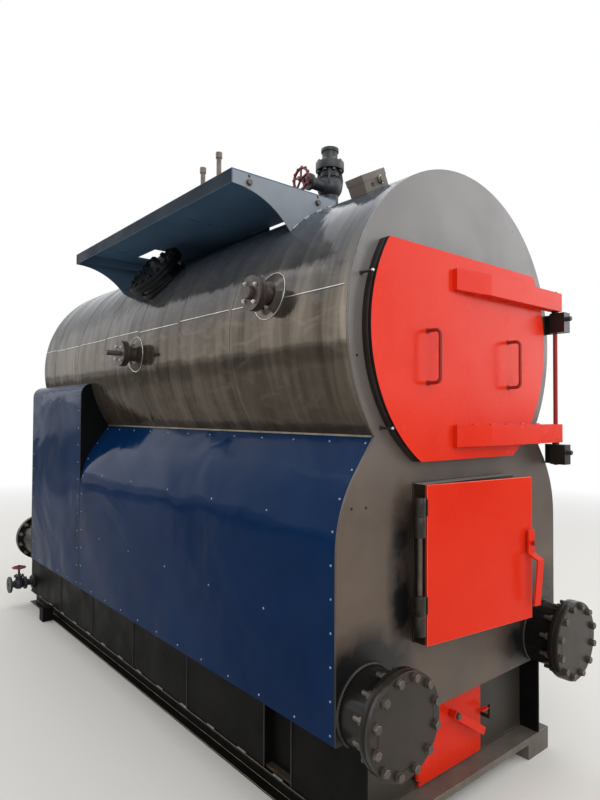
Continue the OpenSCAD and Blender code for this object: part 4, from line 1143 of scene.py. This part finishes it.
rear_welds = Piece("rear_welds", STEEL, "frame_paint")
for side in (-1, 1):
    ring = loop_points(side * HEADER_X, REAR + 0.003, HEADER_Z, PIPE_R + PIPE_WELD_OUT,
                       range(0, 361, 6))
    rear_welds.add_all(bead(ring, PIPE_WELD_R))
flue_low, flue_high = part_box("flue_outlet")
FLUE_Z = (flue_low.z + flue_high.z) / 2
FLUE_R = 0.203
REAR_COVER_R = 0.602
ring = loop_points(0, DRUM_END + 0.003, FLUE_Z, FLUE_R, range(0, 361, 6))
rear_welds.add_all(bead(ring, 0.005))
ring = loop_points(0, DRUM_END + 0.001, DRUM_Z, REAR_COVER_R, range(-16, 197, 3))
rear_welds.add_all(bead(ring, 0.005))
rear_welds.make(60)
REAR_RIVETS = 11
REAR_PITCH = 0.09
rear_rivets = Piece("rear_plate_rivets", ZINC, "frame_paint")
for side in (-1, 1):
    for k in range(REAR_RIVETS):
        place = aimed((side * (HALF_W - RIVET_IN), REAR, 0.78 + REAR_PITCH * k), (0, 1, 0))
        rear_rivets.add(dome(place, RIVET_R, RIVET_H))
rear_rivets.make(60)


# Camera: fitted to the photograph; position in metres from the front plate's foot

CAMERA_AT = (-2.110, FRONT - 1.468, 1.578)
CAMERA_HEADING = (0.640, 0.768)
CAMERA_PITCH = math.radians(1.4)
CAMERA_ROLL = math.radians(0.3)
FOCAL_PX = 601
IMAGE_H_PX = 800
SENSOR_MM = 36.0

camera = bpy.data.cameras.new("camera")
camera.sensor_width = SENSOR_MM
camera.lens = FOCAL_PX / IMAGE_H_PX * SENSOR_MM
viewer = bpy.data.objects.new("camera", camera)
bpy.context.scene.collection.objects.link(viewer)
level = Vector((*CAMERA_HEADING, 0)).normalized() * math.cos(CAMERA_PITCH)
gaze = level + Vector((0, 0, math.sin(CAMERA_PITCH)))
viewer.location = CAMERA_AT
viewer.rotation_mode = "QUATERNION"
viewer.rotation_quaternion = gaze.to_track_quat("-Z", "Y") @ Quaternion((0, 0, 1), CAMERA_ROLL)
bpy.context.scene.camera = viewer


# Floor, lamps and world

floor_mesh = bpy.data.meshes.new("floor")
REACH = 40
floor_mesh.from_pydata([(-REACH, -REACH, 0), (REACH, -REACH, 0), (REACH, REACH, 0),
                        (-REACH, REACH, 0)], [], [(0, 1, 2, 3)])
floor = bpy.data.objects.new("floor", floor_mesh)
bpy.context.scene.collection.objects.link(floor)
FADE_FROM = 3.5
FADE_TO = 11.0
ground = Nodes("floor")
ground.set(Base_Color=linear("d9d7d2"), Roughness=0.7)
reach = ground.tree.nodes.new("ShaderNodeVectorMath")
reach.operation = "LENGTH"
ground.link(ground.coords, reach.inputs[0])
fade = ground.grey(reach.outputs["Value"], 0.0, 1.0, FADE_FROM, FADE_TO)
rays = ground.tree.nodes.new("ShaderNodeLightPath")
fade = ground.multiply(fade, rays.outputs["Is Camera Ray"])
glow = ground.tree.nodes.new("ShaderNodeEmission")
blend = ground.tree.nodes.new("ShaderNodeMixShader")
ground.link(fade, blend.inputs[0])
ground.link(ground.shader.outputs[0], blend.inputs[1])
ground.link(glow.outputs[0], blend.inputs[2])
ground.link(blend.outputs[0], ground.tree.nodes["Material Output"].inputs["Surface"])
floor_mesh.materials.append(ground.material)


def softbox(name, place, target, size, watts):
    lamp = bpy.data.lights.new(name, "AREA")
    lamp.shape = "RECTANGLE"
    lamp.size, lamp.size_y = size
    lamp.energy = watts
    holder = bpy.data.objects.new(name, lamp)
    holder.location = place
    holder.rotation_mode = "QUATERNION"
    holder.rotation_quaternion = (Vector(target) - Vector(place)).to_track_quat("-Z", "Y")
    bpy.context.scene.collection.objects.link(holder)


softbox("key", (-3.2, -8.0, 5.5), (0, -0.5, 1.2), (9.0, 7.0), 480)
softbox("right", (6.0, -5.5, 4.5), (0, -1.0, 1.2), (6.0, 6.0), 260)
softbox("top", (0, 0.5, 7.5), (0, 0, 2), (8.0, 10.0), 330)
softbox("back", (-5.5, 6.5, 5.0), (0, 1.0, 1.2), (9.0, 7.0), 260)

world = bpy.data.worlds.new("world")
bpy.context.scene.world = world
world.use_nodes = True
sky = world.node_tree
background = sky.nodes["Background"]
background.inputs["Color"].default_value = (1, 1, 1, 1)
path = sky.nodes.new("ShaderNodeLightPath")
AMBIENT = 0.38


def sky_math(operation, a, b):
    node = sky.nodes.new("ShaderNodeMath")
    node.operation = operation
    for value, socket in zip((a, b), node.inputs):
        if isinstance(value, (int, float)):
            socket.default_value = value
        else:
            sky.links.new(value, socket)
    return node.outputs["Value"]


seen = sky_math("MAXIMUM", path.outputs["Is Camera Ray"], path.outputs["Is Glossy Ray"])
seen = sky_math("MAXIMUM", seen, path.outputs["Is Transmission Ray"])
strength = sky_math("ADD", sky_math("MULTIPLY", seen, 1.0 - AMBIENT), AMBIENT)
sky.links.new(strength, background.inputs["Strength"])

bpy.context.scene.view_settings.view_transform = "Standard"
